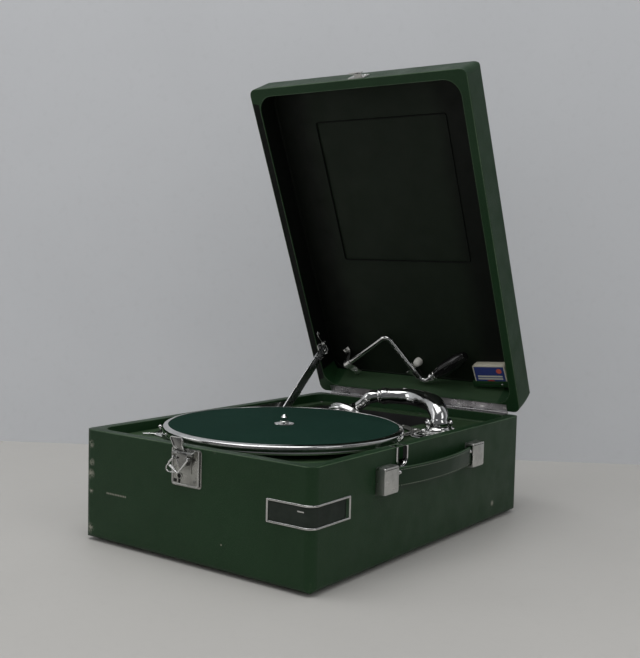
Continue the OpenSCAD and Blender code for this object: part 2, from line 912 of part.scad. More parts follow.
// Flat outline of the horn: a round throat under the tone arm that widens to the mouth
module horn_outline(grow) {
    mouth_outline(grow);
    translate([arm_x, arm_y])
        circle(arm_foot_r + 3 + grow);
    polygon([[arm_x + 2, arm_y - arm_foot_r - 3 - grow], [arm_x + 9, arm_y + arm_foot_r + 0.5 + grow],
        [mouth_x1 - 10, mouth_y1 + grow], [mouth_x1 - 20, mouth_y0 - grow]]);
}

// Side view of the horn: it deepens from the throat to the mouth
module horn_profile(grow) {
    low = deck_under - horn_depth;
    polygon([[mouth_x0 - grow, deck_under + 1], [arm_x + arm_foot_r + 3 + grow, deck_under + 1],
        [arm_x + arm_foot_r + 3 + grow, deck_under - 30 - grow], [mouth_x1, deck_under - 52 - grow],
        [mouth_x0 + 90, low - grow], [mouth_x0 + 20, low - grow], [mouth_x0 - grow, low + 14 - grow]]);
}

module horn() {
    color(black)
        difference() {
            intersection() {
                translate([0, 0, deck_under - 100])
                    linear_extrude(100)
                        horn_outline(horn_t);
                along_y(mouth_y0 - 40, back)
                    horn_profile(horn_t);
            }
            intersection() {
                translate([0, 0, deck_under - 110])
                    linear_extrude(120)
                        horn_outline(0);
                along_y(mouth_y0 - 40, back)
                    horn_profile(0);
            }
        }
}

// Stay slot

function lid_turn(y, z, a) = let (dy = y - hinge_y, dz = z - hinge_z)
    [hinge_y + dy * cos(a) + dz * sin(a), hinge_z - dy * sin(a) + dz * cos(a)];

// Place of the stay's lower pin when the lid stands open by an angle
function stay_pin_at(a) = let (b = lid_turn(stay_up_y, stay_up_z, a),
    tilt = stay_shut_tilt + (stay_open_tilt - stay_shut_tilt) * a / open_angle)
    b - stay_len * [cos(tilt), sin(tilt)];

module slot_outline(r) {
    steps = 16;
    path = [for (i = [-0.4, each [0:steps], steps + 0.4]) stay_pin_at(open_angle * i / steps)];
    upper = [for (i = [0:len(path) - 1]) path[i] + r * slot_side(path, i)];
    lower = [for (i = [len(path) - 1:-1:0]) path[i] - r * slot_side(path, i)];
    polygon(concat(upper, lower));
    for (p = [path[0], path[len(path) - 1]])
        translate(p)
            circle(r - eps);
}

function slot_side(path, i) = let (d = path[min(i + 1, len(path) - 1)] - path[max(i - 1, 0)])
    [-d[1], d[0]] / norm(d);

module stay_slot_plate() {
    color(steel)
        difference() {
            along_x(-in_x, -in_x + 1.8)
                round_plate_between(stay_slot_y0 + 1, deck_under - ledge_h + 0.5, stay_slot_y1 - 1, rim_z - 2.5, 5);
            along_x(-in_x - 1, -in_x + 3)
                slot_outline(stay_pin_r + stay_slot_gap);
        }
}

module stay_arm() {
    up = lid_turn(stay_up_y, stay_up_z, open_angle);
    low = stay_pin_at(open_angle);
    color(silver)
        difference() {
            union() {
                along_x(stay_x, stay_x + stay_t)
                    link_outline(up, low, stay_w);
                along_x(-in_x + 0.2, stay_x + stay_t + 1.2)
                    translate(low)
                        circle(stay_pin_r);
                along_x(-in_x + 2.2, stay_x + eps)
                    translate(low)
                        circle(stay_pin_r + 1.6);
            }
            along_x(stay_x - 2, stay_x + 6)
                translate(up)
                    circle(2 + run_gap);
        }
}

module stay_bracket() {
    color(silver)
        in_lid() {
            along_x(-in_x, -in_x + 1.6)
                round_plate_between(stay_up_y - 8, lid_z + 0.4, stay_up_y + 8, lid_z + 20, 3);
            along_x(-in_x, stay_x + stay_t + 0.8)
                translate([stay_up_y, stay_up_z])
                    circle(2);
            along_x(-in_x, stay_x - 0.3)
                translate([stay_up_y, stay_up_z])
                    circle(4.5);
            along_x(stay_x + stay_t + 0.3, stay_x + stay_t + 1.4)
                translate([stay_up_y, stay_up_z])
                    circle(3.4);
        }
}

// Lid

module lid_block() {
    intersection() {
        translate([0, 0, lid_z])
            linear_extrude(lid_h)
                round_plate(case_w, case_d, corner_r);
        along_y(front - 1, back + 1)
            soft_profile(-right, right, lid_z, lid_top, rim_r, lid_edge_r);
        along_x(-right - 1, right + 1)
            lid_side();
    }
}

// Side view of the lid: straight at the front, leaning in at the back
module lid_side() {
    lean = atan(back_lean / lid_h);
    knee = back - back_lean;
    turn = (90 - lean) / 2;
    cx = knee - lid_edge_r * tan(turn);
    polygon([[front + lid_edge_r, lid_z], [back, lid_z], [knee + (back - knee) * 0.2, lid_top - 0.2 * lid_h],
        [cx, lid_top], [front + lid_edge_r, lid_top]]);
    soft_profile(front, cx, lid_z, lid_top, rim_r, lid_edge_r);
    translate([cx, lid_top - lid_edge_r])
        circle(lid_edge_r);
}

module lid_shell() {
    color(green)
        in_lid()
            difference() {
                lid_block();
                lid_hollow(0, lid_top - lid_top_t);
                hinge_mortise(lid_z - 1, lid_z + leaf_t);
            }
}

// Space inside the lid, with the same lean at its back
module lid_hollow(shrink, top) {
    intersection() {
        translate([0, 0, lid_z - 1])
            linear_extrude(top - lid_z + 1)
                round_plate(2 * in_x - 2 * shrink, 2 * in_y - 2 * shrink, inner_r - shrink);
        along_x(-right, right)
            polygon([[front, lid_z - 2], [in_y - shrink + 1, lid_z - 2], [in_y - shrink, lid_z],
                [in_y - shrink - back_lean * (top - lid_z) / lid_h, top], [front, top]]);
    }
}

panel_x = 8.5;
panel_y = -spindle_back - 3.5;

module lid_lining() {
    color(dark_green)
        in_lid()
            difference() {
                intersection() {
                    lid_hollow(0.2, lid_top - lid_top_t);
                    box(-right, front, ceiling_z, right, back, lid_top);
                }
                translate([panel_x, panel_y, ceiling_z - 1])
                    linear_extrude(1 + panel_depth)
                        round_plate(panel_side, panel_side, 2);
            }
}

// The upright hook stands in a slot in the catch's shelf
module lid_catch() {
    w = 22;
    x0 = latch_x - 1.5;
    color(silver)
        in_lid()
            difference() {
                union() {
                    along_y(latch_face, front)
                        round_plate_between(x0, lid_z + 2, x0 + w, lid_z + 17, 2.5);
                    box(x0 + 3, front - 6.5, lid_z + 2.5, x0 + w - 3, latch_face + eps, lid_z + 4);
                    box(x0 + 3, front - 6.5, lid_z + 4 - eps, x0 + w - 3, front - 5, lid_z + 8);
                }
                box(x0, latch_face - hook_t - 0.7, lid_z, latch_x + 8.5, latch_face, lid_z + 12);
            }
}

// Stowed winding handle, drawn in the closed lid

crank_dir = [cos(crank_turn), sin(crank_turn)];
crank_side = [-sin(crank_turn), cos(crank_turn)];
crank_b = crank_a + crank_shaft * crank_dir;
crank_c = crank_b + crank_throw * crank_side;
crank_d = crank_c + (grip_len + 22) * crank_dir;

// Straight length of the rod that starts at a flat point and runs along the shaft
module crank_straight(from, l, r) {
    translate([from[0], from[1], 0])
        rotate([0, 0, crank_turn])
            rotate([0, 90, 0])
                cylinder(r = r, h = l);
}

module winding_handle() {
    plain = 50;
    collar = 17;
    color(silver)
        in_lid()
            translate([0, 0, crank_z])
                difference() {
                    union() {
                        crank_straight(crank_a, plain, rod_r);
                        rod_path([crank_a + (plain - 2) * crank_dir, crank_b, crank_c, crank_c + (collar + 1) * crank_dir],
                            rod_r - 0.04, crank_bend, 16);
                        crank_straight(crank_c + collar * crank_dir, grip_len, rod_r);
                        crank_straight(crank_c + collar * crank_dir, 2.2, rod_r + 2);
                    }
                    translate([crank_a[0], crank_a[1], 0])
                        rotate([0, 0, crank_turn])
                            translate([-1, -0.8, -rod_r - 1])
                                cube([7, 1.6, 2 * rod_r + 2]);
                }
}

module handle_grip() {
    color(black)
        in_lid()
            translate([crank_d[0], crank_d[1], crank_z])
                rotate([0, 0, crank_turn + 180])
                    rotate([0, 90, 0])
                        difference() {
                            rotate_extrude()
                                grip_profile();
                            translate([0, 0, 4])
                                cylinder(r = rod_r + run_gap, h = grip_len);
                        }
}

// Half outline of the barrel-shaped grip
module grip_profile() {
    swell = 70;
    intersection() {
        square([grip_r, grip_len]);
        translate([grip_r - swell, grip_len / 2])
            circle(swell, $fn = 120);
    }
}

module crank_bracket() {
    c = crank_a + 4 * crank_dir;
    color(silver)
        in_lid()
            translate([c[0], c[1], 0])
                rotate([0, 0, crank_turn]) {
                    difference() {
                        box(-6, -17, ceiling_z - 1.4, 6, 14, ceiling_z);
                        for (y = [-13, 10])
                            translate([0, y, ceiling_z - 3])
                                cylinder(r = 1.6, h = 5);
                    }
                    difference() {
                        along_x(-6, 6)
                            union() {
                                translate([-rod_r - 2.2, crank_z])
                                    square([2 * rod_r + 4.4, ceiling_z - crank_z]);
                                translate([0, crank_z])
                                    circle(rod_r + 2.2);
                            }
                        along_x(-7, 7)
                            translate([0, crank_z])
                                circle(rod_r + 0.1);
                    }
                }
}

// Spring clip that grips the handle's throw, and the triangular plate that it is riveted to
module crank_clip() {
    p = crank_c - 14 * crank_side;
    color(silver)
        in_lid()
            translate([p[0], p[1], 0])
                rotate([0, 0, crank_turn]) {
                    translate([0, 0, ceiling_z - 1.2])
                        linear_extrude(1.2)
                            polygon([[-26, -7], [-12, -9], [-4, -6], [-4, 5], [-14, 3]]);
                    difference() {
                        along_y(-5, 5)
                            union() {
                                translate([0, crank_z])
                                    circle(rod_r + 1.4);
                                translate([-rod_r - 1.4, crank_z])
                                    square([1.4, ceiling_z - crank_z]);
                            }
                        along_y(-6, 6)
                            union() {
                                translate([0, crank_z])
                                    circle(rod_r + 0.3);
                                translate([0, crank_z - rod_r - 0.3])
                                    square([20, 2 * rod_r + 0.6]);
                            }
                    }
                    box(-12, -5, ceiling_z - 1.2, -rod_r - 1.4 + eps, 5, ceiling_z);
                }
}

module rubber_buffer() {
    p = crank_b + 51.5 * crank_side + 4.5 * crank_dir;
    h = ceiling_z - crank_z - rod_r - 0.3;
    color([0.85, 0.85, 0.82])
        in_lid()
            translate([p[0], p[1], ceiling_z - h])
                rotate_extrude()
                    polygon([[0, 0], [4.2, 0], [4.7, 0.6], [5.2, h], [0, h]]);
}

// Needle tin and its pocket, drawn in the closed lid

tin_x = in_x - 31.6;
tin_turn = -4.5;
pocket_y = in_y - back_lean * 0.83 - 4.2;

module tin_frame() {
    translate([tin_x, pocket_y, 0])
        rotate([0, 0, tin_turn])
            children();
}

module tin_pocket() {
    z1 = ceiling_z;
    color(green)
        in_lid()
            difference() {
                tin_frame()
                    box(-tin_w / 2 - 3, -6, z1 - tin_t - 2.4, tin_w / 2 + 3, 2, z1);
                tin_frame()
                    box(-tin_w / 2 - 0.5, -tin_l - 1, z1 - tin_t - 0.8, tin_w / 2 + 0.5, 0.3, z1 - 0.3);
            }
}

module needle_tin() {
    color([0.15, 0.25, 0.5])
        in_lid()
            tin_frame()
                translate([0, -tin_l / 2, ceiling_z - 0.4 - tin_t])
                    linear_extrude(tin_t)
                        round_plate(tin_w, tin_l, 3);
}

// Turntable

module platter() {
    r = platter_d / 2;
    color(silver)
        translate([0, spindle_y, 0])
            rotate_extrude($fn = 180)
                difference() {
                    union() {
                        translate([shaft_r, platter_top - 1.4])
                            square([r - shaft_r - 1.5, 1.4]);
                        translate([r - 2.6, platter_low + 0.8])
                            square([1.6, platter_top - platter_low - 0.8]);
                        translate([r - 1.6, platter_low + 1.2])
                            circle(1.2);
                        translate([r - 2, felt_z - 2])
                            circle(2);
                        translate([r - 5.2, felt_z - 1.4])
                            square([3.4, 1.4]);
                        translate([shaft_r, platter_top - 6])
                            square([11, 6]);
                    }
                    square([shaft_r + 0.02, 300]);
                }
}

module platter_felt() {
    color([0.1, 0.22, 0.17])
        translate([0, spindle_y, platter_top])
            linear_extrude(felt_t)
                difference() {
                    circle(platter_d / 2 - 5.6, $fn = 180);
                    circle(10.5);
                }
}

module turntable_spindle() {
    color(steel)
        translate([0, spindle_y, 0]) {
            difference() {
                rotate_extrude()
                    polygon([[0, plate_high - motor_plate_t + 0.4], [1.6, plate_high - motor_plate_t + 0.4],
                        [1.6, plate_high + 0.3], [shaft_r, plate_high + 0.3], [shaft_r, platter_top - 6.5],
                        [8, platter_top - 6.5], [8, platter_top - 6.02], [shaft_r, platter_top - 6.02],
                        [shaft_r, felt_z + 0.6], [spindle_r, felt_z + 0.6], [spindle_r, felt_z + spindle_tip - 3],
                        [1.2, felt_z + spindle_tip], [0, felt_z + spindle_tip]]);
            }
            difference() {
                translate([0, 0, platter_top])
                    cylinder(r = 10.3, h = felt_t + 0.4);
                translate([0, 0, platter_top - 1])
                    cylinder(r = shaft_r - eps, h = 6);
            }
            translate([0, 0, inter_wheel_z - 1.5])
                rotate([0, 0, spindle_from_inter + 180 + 180 / spindle_pinion_teeth])
                    spur_gear(train_m, spindle_pinion_teeth, 6);
        }
}

// Worm wheel whose teeth follow the worm's slope
module worm_wheel() {
    h = 4;
    lead_angle = atan(worm_lead / (2 * PI * worm_r));
    color(brass)
        translate([0, spindle_y, gov_z - h / 2])
            difference() {
                rotate([0, 0, -h / 2 * tan(lead_angle) / worm_wheel_r * 180 / PI])
                    linear_extrude(h, twist = -h * tan(lead_angle) / worm_wheel_r * 180 / PI, slices = 1)
                        polygon(gear_outline(worm_m, worm_teeth, 0.3, 1));
                translate([0, 0, -1])
                    cylinder(r = shaft_r, h = h + 2);
            }
}

// Motor

module motor_outline() {
    difference() {
        round_plate_between(-58, spindle_y - 60, barrel_x + 42, spindle_y + 64, 10);
        translate([-58, spindle_y - 62])
            circle(22);
    }
}

pillar_at = [[-50, spindle_y - 30], [-50, spindle_y + 56], [barrel_x + 34, spindle_y - 52],
    [barrel_x + 34, spindle_y + 56]];
bush_at = [[-50, spindle_y - 12], [-30, spindle_y + 56], [barrel_x + 14, spindle_y - 52],
    [barrel_x + 34, spindle_y + 38]];

module motor_bores(z0, h) {
    translate([0, spindle_y, z0])
        cylinder(r = shaft_r + run_gap, h = h);
    translate([barrel_x, barrel_y, z0])
        cylinder(r = shaft_r + run_gap, h = h);
    translate([inter_x, inter_y, z0])
        cylinder(r = 2 + run_gap, h = h);
}

module motor_top_plate() {
    color(steel)
        difference() {
            translate([0, 0, plate_low])
                linear_extrude(motor_plate_t)
                    motor_outline();
            motor_bores(plate_low - 1, motor_plate_t + 2);
            box(barrel_x + crown_r * 0.7, barrel_y - 11, plate_low - 1, right, barrel_y + 11, plate_low + 10);
        }
}

module motor_bottom_plate() {
    color(steel)
        difference() {
            translate([0, 0, motor_low])
                linear_extrude(motor_plate_t)
                    motor_outline();
            translate([0, spindle_y, motor_low - 1])
                cylinder(r = 1.6 + run_gap, h = 5);
            translate([barrel_x, barrel_y, motor_low - 1])
                cylinder(r = shaft_r + run_gap, h = 5);
            translate([inter_x, inter_y, motor_low - 1])
                cylinder(r = 2 + run_gap, h = 5);
        }
}

module motor_pillars() {
    color(brass)
        for (p = pillar_at)
            translate([p[0], p[1], plate_high])
                cylinder(r = 3.5, h = motor_gap);
}

module motor_bushes() {
    color(black)
        for (p = bush_at)
            translate([p[0], p[1], motor_top])
                cylinder(r = 7, h = motor_drop);
}

module spring_barrel() {
    color(brass)
        translate([barrel_x, barrel_y, barrel_low])
            difference() {
                union() {
                    cylinder(r = barrel_r - 1.25 * barrel_m - 0.5, h = barrel_h, $fn = 96);
                    rotate([0, 0, barrel_from_inter + 180])
                        spur_gear(barrel_m, barrel_teeth, 4);
                }
                translate([0, 0, 2])
                    cylinder(r = barrel_r - 1.25 * barrel_m - 2.2, h = barrel_h - 4);
                translate([0, 0, -1])
                    cylinder(r = shaft_r + run_gap, h = barrel_h + 2);
            }
}

// Spiral strip that winds from the barrel's wall in to the arbor
module mainspring() {
    r1 = barrel_r - 1.25 * barrel_m - 2.2 - 0.3 - spring_t;
    r0 = shaft_r + 4;
    per = 24;
    n = spring_turns * per;
    pitch = (r1 - r0) / spring_turns;
    inner = [for (i = [0:n]) let (a = 360 * i / per, r = r0 + pitch * i / per) r * [cos(a), sin(a)]];
    outer = [for (i = [n:-1:0]) let (a = 360 * i / per, r = r0 + spring_t + pitch * i / per) r * [cos(a), sin(a)]];
    color(steel)
        translate([barrel_x, barrel_y, barrel_low + 3])
            linear_extrude(barrel_h - 6)
                polygon(concat(inner, outer));
}

module intermediate_wheel() {
    color(brass)
        translate([inter_x, inter_y, 0]) {
            translate([0, 0, motor_low + 0.3])
                cylinder(r = 2, h = motor_top - motor_low - 0.6);
            translate([0, 0, plate_high + 0.5])
                cylinder(r = 4, h = plate_low - plate_high - 1);
            translate([0, 0, barrel_low - 0.7])
                rotate([0, 0, barrel_from_inter + 180 / inter_pinion_teeth])
                    spur_gear(barrel_m, inter_pinion_teeth, 5.6);
            difference() {
                translate([0, 0, inter_wheel_z])
                    rotate([0, 0, spindle_from_inter])
                        spur_gear(train_m, inter_teeth, 3);
                for (a = [0:72:359])
                    rotate([0, 0, a])
                        translate([inter_r * 0.55, 0, inter_wheel_z - 1])
                            cylinder(r = inter_r * 0.24, h = 5);
            }
        }
}

// Bevel gears: teeth are tapered to one point, on the arbor's axis
module crown_tooth() {
    near = crown_r - crown_face;
    m = crown_m * near / crown_r;
    half = PI * m / 4 - 0.06;
    slope = tan(20);
    translate([near, 0, 0])
        rotate([90, 0, 90])
            translate([0, 0, 0])
                linear_extrude(crown_face, scale = crown_r / near)
                    polygon([[-half - m * 2 * slope, -m * 2], [-half + m * 0.9 * slope, m * 0.9],
                        [half - m * 0.9 * slope, m * 0.9], [half + m * 2 * slope, -m * 2]]);
}

module winding_arbor() {
    color(steel)
        translate([barrel_x, barrel_y, 0]) {
            translate([0, 0, motor_low + 0.3])
                cylinder(r = shaft_r, h = motor_top - motor_low - 0.6);
            translate([0, 0, crown_low])
                cylinder(r = crown_r - 0.4, h = 2.8);
            translate([0, 0, apex_z])
                for (k = [0:crown_teeth - 1])
                    rotate([0, 0, 360 * (k + 0.5) / crown_teeth])
                        crown_tooth();
        }
}

wind_socket_end = (in_x - 18 - barrel_x) / cos(wind_tilt);

module winding_shaft() {
    near = (crown_r - crown_face) * cos(wind_tilt);
    far = crown_r * cos(wind_tilt);
    m = crown_m * (crown_r - crown_face) / crown_r;
    color(steel)
        translate([barrel_x, barrel_y, apex_z])
            rotate([0, 90 - wind_tilt, 0]) {
                translate([0, 0, near])
                    linear_extrude(far - near, scale = far / near)
                        polygon(gear_outline(m, wind_pinion_teeth, 0.14, 2));
                difference() {
                    union() {
                        translate([0, 0, near - 9])
                            cylinder(r = 2.5, h = 12);
                        translate([0, 0, far - 1])
                            cylinder(r = 4, h = 12);
                        translate([0, 0, far + 8])
                            cylinder(r = 6, h = wind_socket_end - far - 8);
                    }
                    translate([0, 0, wind_socket_end - 18])
                        cylinder(r = rod_r + 0.15, h = 30);
                }
            }
}

module winding_bearing() {
    near = (crown_r - crown_face) * cos(wind_tilt);
    far = crown_r * cos(wind_tilt);
    color(steel)
        difference() {
            translate([barrel_x, barrel_y, apex_z])
                rotate([0, 90 - wind_tilt, 0]) {
                    translate([-22, -15, far + 3])
                        cube([29, 30, 4]);
                    translate([-22, -5, near - 6])
                        cube([26.5, 10, 3]);
                }
            box(0, barrel_y - 20, plate_low, right, barrel_y + 20, plate_low + 40);
            translate([barrel_x, barrel_y, apex_z])
                rotate([0, 90 - wind_tilt, 0]) {
                    translate([0, 0, far])
                        cylinder(r = 4 + run_gap, h = 10);
                    translate([0, 0, near - 12])
                        cylinder(r = 2.5 + run_gap, h = 12);
                }
        }
}

// Governor, on a shaft along Y

gov_y0 = spindle_y - 52;
gov_y1 = spindle_y + 24;

module worm() {
    depth = worm_m;
    sides = 6 * worm_starts;
    len = 15;
    pts = [for (i = [0:sides - 1]) let (a = 360 * i / sides, w = cos(worm_starts * a))
        (worm_r + depth * 0.95 * (w > 0 ? pow(w, 0.6) : -pow(-w, 0.6)) - 0.12) * [cos(a), sin(a)]];
    translate([0, 0, -len / 2])
        rotate([0, 0, -180 * len / worm_lead])
            linear_extrude(len, twist = -360 * len / worm_lead, slices = 16)
                polygon(pts);
}

module on_governor(y) {
    translate([gov_x, y, gov_z])
        rotate([-90, 0, 0])
            children();
}

module governor_shaft() {
    color(steel) {
        on_governor(gov_y0)
            cylinder(r = 1.5, h = gov_y1 - gov_y0);
        on_governor(gov_y0 + 4.3)
            cylinder(r = 2.5, h = gov_y1 - gov_y0 - 8.6);
        on_governor(spindle_y)
            rotate([0, 0, worm_phase])
                worm();
    }
}

worm_phase = 0;

module governor_weights() {
    color(brass) {
        on_governor(spindle_y - 22)
            difference() {
                cylinder(r = 6, h = 3);
                translate([0, 0, -1])
                    cylinder(r = 2.5, h = 6);
            }
        for (k = [0:2])
            on_governor(spindle_y - 22)
                rotate([0, 0, 120 * k]) {
                    translate([gov_weight_orbit, 0, -10])
                        sphere(r = gov_weight_r);
                    along_governor_spring();
                }
    }
}

// Flat leaf spring that carries one weight between the two collars
module along_governor_spring() {
    translate([4.4, -2, -18])
        cube([0.5, 4, 21]);
    translate([4.4, -1, -11])
        cube([gov_weight_orbit - 4.4, 2, 2]);
}

module governor_disc() {
    color(steel)
        on_governor(spindle_y - 44)
            difference() {
                union() {
                    cylinder(r = gov_disc_r, h = 1.5);
                    cylinder(r = 5, h = 4);
                }
                translate([0, 0, -1])
                    cylinder(r = 2.5, h = 6);
            }
}

module governor_bearings() {
    color(steel)
        difference() {
            for (y = [gov_y0, gov_y1 - 4])
                box(gov_x - 6, y, plate_high, gov_x + 6, y + 4, gov_z + 7);
            on_governor(gov_y0 - 1)
                cylinder(r = 1.5 + run_gap, h = 6);
            on_governor(gov_y1 - 5)
                cylinder(r = 1.5 + run_gap, h = 6);
        }
}

// Tone arm, turning on its base and lifting on the turret's cross pin

turret_z = deck_z + 2;
lift_z = deck_z + 9;

module tonearm_base() {
    color(silver)
        translate([arm_x, arm_y, 0])
            difference() {
                union() {
                    translate([0, 0, deck_z])
                        linear_extrude(2)
                            union() {
                                circle(17);
                                round_plate_between(-10, -13, 17, 19, 4);
                            }
                    translate([0, 0, deck_under - 1])
                        cylinder(r = arm_foot_r + 1.8, h = deck_t + 2);
                }
                translate([0, 0, deck_under - 2])
                    cylinder(r = arm_foot_r - 2 + run_gap, h = deck_t + 8);
            }
}

module arm_turret() {
    color(silver)
        difference() {
            union() {
                translate([arm_x, arm_y, deck_under - 1])
                    cylinder(r = arm_foot_r - 2, h = turret_z - deck_under + 1.1);
                translate([arm_x, arm_y, turret_z + 0.1])
                    cylinder(r = arm_foot_r + 3, h = 2);
                for (s = [-1, 1])
                    translate([arm_x, arm_y, turret_z + 0.1])
                        rotate([0, 0, arm_heading])
                            translate([0, s * (arm_foot_r + 2.4), 0])
                                ear();
            }
            translate([arm_x, arm_y, deck_under - 2])
                cylinder(r = arm_foot_r - 3.4, h = 20);
            translate([arm_x, arm_y, lift_z])
                sphere(r = ball_r + 0.4);
            translate([arm_x, arm_y, lift_z])
                rotate([0, 0, arm_heading])
                    rotate([90, 0, 0])
                        translate([0, 0, -20])
                            cylinder(r = 2 + run_gap, h = 40);
        }
}

arm_heading = 140;

module ear() {
    translate([0, 0.7, 0])
        rotate([90, 0, 0])
            linear_extrude(1.4)
                union() {
                    translate([-4, 0])
                        square([8, lift_z - turret_z]);
                    translate([0, lift_z - turret_z])
                        circle(4);
                }
}

// Centre line of the arm, from the ball at its foot to the neck: position and radius
arm_line = [[0, 0, 10, 8.6], [0, 0.5, 14, 8.8], [-2, 3.5, 19.5, 9.4], [-8, 9, 24.8, 9.8], [-17.5, 17.5, 28.4, 9.6],
    [-31.5, 28, 30.2, 9.2], [-47.5, 37, 30.7, 8.8], [-64, 41, 30.5, 8.4], [-80, 37.5, 30, 8.2], [-95, 28.5, 29.2, 8.1]];
ball_r = arm_foot_r + 0.4;

module tone_arm() {
    color(silver)
        difference() {
            union() {
                translate([arm_x, arm_y, deck_z - 1])
                    swept_tube(arm_line, 3, 20);
                translate([arm_x, arm_y, lift_z])
                    rotate([0, 0, arm_heading])
                        rotate([90, 0, 0])
                            translate([0, 0, -arm_foot_r - 3.4])
                                cylinder(r = 2, h = 2 * arm_foot_r + 6.8);
                translate([arm_x, arm_y, lift_z])
                    sphere(r = ball_r);
            }
            translate([arm_x, arm_y, lift_z - ball_r - 1])
                cylinder(r = ball_r + 1, h = ball_r + 1 - 5.5);
            translate([arm_x, arm_y, lift_z - 8])
                cylinder(r = arm_foot_r - 3.4, h = 8);
            point_to(arm_tip - 8 * arm_tip_dir, arm_tip_dir)
                cylinder(r = spigot_r + run_gap, h = 12);
        }
}

soundbox_c = [-26, 101, deck_z - 1.5];

module at_soundbox() {
    translate(soundbox_c)
        rotate([box_tilt, 0, box_turn])
            children();
}

module soundbox() {
    color(silver)
        at_soundbox() {
            rotate_extrude($fn = 96)
                polygon([[0, -soundbox_t / 2], [9, -soundbox_t / 2], [11, -soundbox_t / 2 + 2.5],
                    [soundbox_r - 6, -soundbox_t / 2 + 4.5], [soundbox_r - 1, -soundbox_t / 2 + 6],
                    [soundbox_r, -soundbox_t / 2 + 7.5], [soundbox_r, soundbox_t / 2 - 2],
                    [soundbox_r - 1.5, soundbox_t / 2], [soundbox_r - 5, soundbox_t / 2],
                    [soundbox_r - 6, soundbox_t / 2 - 2.5], [soundbox_r - 6, soundbox_t / 2 - 5], [0, soundbox_t / 2 - 5]]);
        }
}

// Neck that turns in the end of the arm and carries the soundbox from behind
module gooseneck() {
    hub = soundbox_c - hub_len * box_front;
    from = arm_tip + 9 * arm_tip_dir;
    color(silver) {
        point_to(arm_tip - 7 * arm_tip_dir, arm_tip_dir)
            cylinder(r = spigot_r, h = 9);
        point_to(arm_tip + arm_tip_dir, arm_tip_dir)
            cylinder(r = 8.2, h = 3.2);
        point_to(from, unit(hub - from))
            sphere(r = 7.4);
        point_to(from, unit(hub - from))
            cylinder(r = neck_r, h = norm(hub - from));
        at_soundbox()
            translate([0, 0, -soundbox_t / 2 - 12])
                cylinder(r = neck_r + 2.2, h = 12);
    }
}

hub_len = soundbox_t / 2 + 7;
spigot_r = 5;
box_turn = -4;
box_tilt = 133.5;
box_front = [sin(box_tilt) * sin(box_turn), -sin(box_tilt) * cos(box_turn), cos(box_tilt)];
arm_ends = [for (i = [len(arm_line) - 2, len(arm_line) - 1])
    [arm_x + arm_line[i][0], arm_y + arm_line[i][1], deck_z - 1 + arm_line[i][2]]];
arm_tip = arm_ends[1];
arm_tip_dir = unit(arm_ends[1] - arm_ends[0]);

// Moves what stands on the origin along +Z to a point and a direction
module point_to(at, dir) {
    translate(at)
        rotate([0, acos(dir[2]), atan2(dir[1], dir[0])])
            children();
}

module diaphragm() {
    color([0.75, 0.75, 0.7])
        at_soundbox()
            translate([0, 0, soundbox_t / 2 - 5])
                cylinder(r = soundbox_r - 6.4, h = 0.6);
}

// Bar that joins the needle's chuck to the middle of the diaphragm
module stylus_bar() {
    color(steel)
        difference() {
            at_soundbox() {
                translate([-1.5, -soundbox_r - 5, soundbox_t / 2 + 0.5])
                    cube([3, soundbox_r + 5, 2]);
                translate([0, 0, soundbox_t / 2 - 4.4])
                    cylinder(r = 2, h = 6.9);
                translate([-3, -soundbox_r - 9, soundbox_t / 2 - 2])
                    cube([6, 8, 6]);
            }
            at_needle()
                translate([0, 0, -2])
                    cylinder(r = needle_r + run_gap, h = 20);
        }
}

module at_needle() {
    at_soundbox()
        translate([0, -soundbox_r - 4, soundbox_t / 2 + 1])
            rotate([110, 0, 0])
                children();
}

module needle() {
    color(steel)
        at_needle()
            rotate_extrude()
                polygon([[0, 0], [needle_r, 0], [needle_r, 11], [0.1, 15], [0, 15]]);
}

// Deck levers

module speed_lever() {
    color(silver) {
        translate([speed_x, speed_y, 50])
            cylinder(r = 2.5, h = deck_z - 50 + 1.6);
        translate([0, 0, deck_z + 0.4])
            linear_extrude(1.2)
                union() {
                    polygon([[speed_x - 10, speed_y - 10], [speed_x - 20, speed_y + 17], [speed_x + 12, speed_y - 14]]);
                    translate([speed_x, speed_y])
                        circle(6);
                }
    }
}

module brake_post() {
    color(silver)
        translate([brake_x, brake_y, deck_z]) {
            cylinder(r = 5, h = 1.5);
            cylinder(r = 2, h = 5);
        }
}

brake_x = 88;
brake_y = 64;

module brake_lever() {
    color(silver)
        difference() {
            translate([0, 0, deck_z + 1.8])
                linear_extrude(1.4)
                    union() {
                        link_outline([brake_x, brake_y], [brake_x - 28, brake_y + 18], 7);
                        link_outline([brake_x, brake_y], [brake_x + 5, brake_y - 33], 7);
                        translate([brake_x, brake_y])
                            circle(5.5);
                    }
            translate([brake_x, brake_y, deck_z])
                cylinder(r = 2 + run_gap, h = 6);
        }
}

// Needle tray in the front corner

module needle_tray() {
    color(green)
        difference() {
            translate([0, 0, tray_low])
                linear_extrude(tray_h)
                    tray_outline(0);
            translate([0, 0, tray_low + 2])
                linear_extrude(tray_h)
                    intersection() {
                        tray_outline(-2.2);
                        round_plate(case_w - 5, case_d - 5, corner_r - 2.5);
                    }
            translate([tray_px, tray_py, tray_low - 1])
                cylinder(r = tray_pin_r + run_gap, h = tray_h + 2);
        }
}

module tray_pin() {
    color(steel)
        translate([tray_px, tray_py, tray_low - 8.8])
            cylinder(r = tray_pin_r, h = tray_h + 17.6);
}

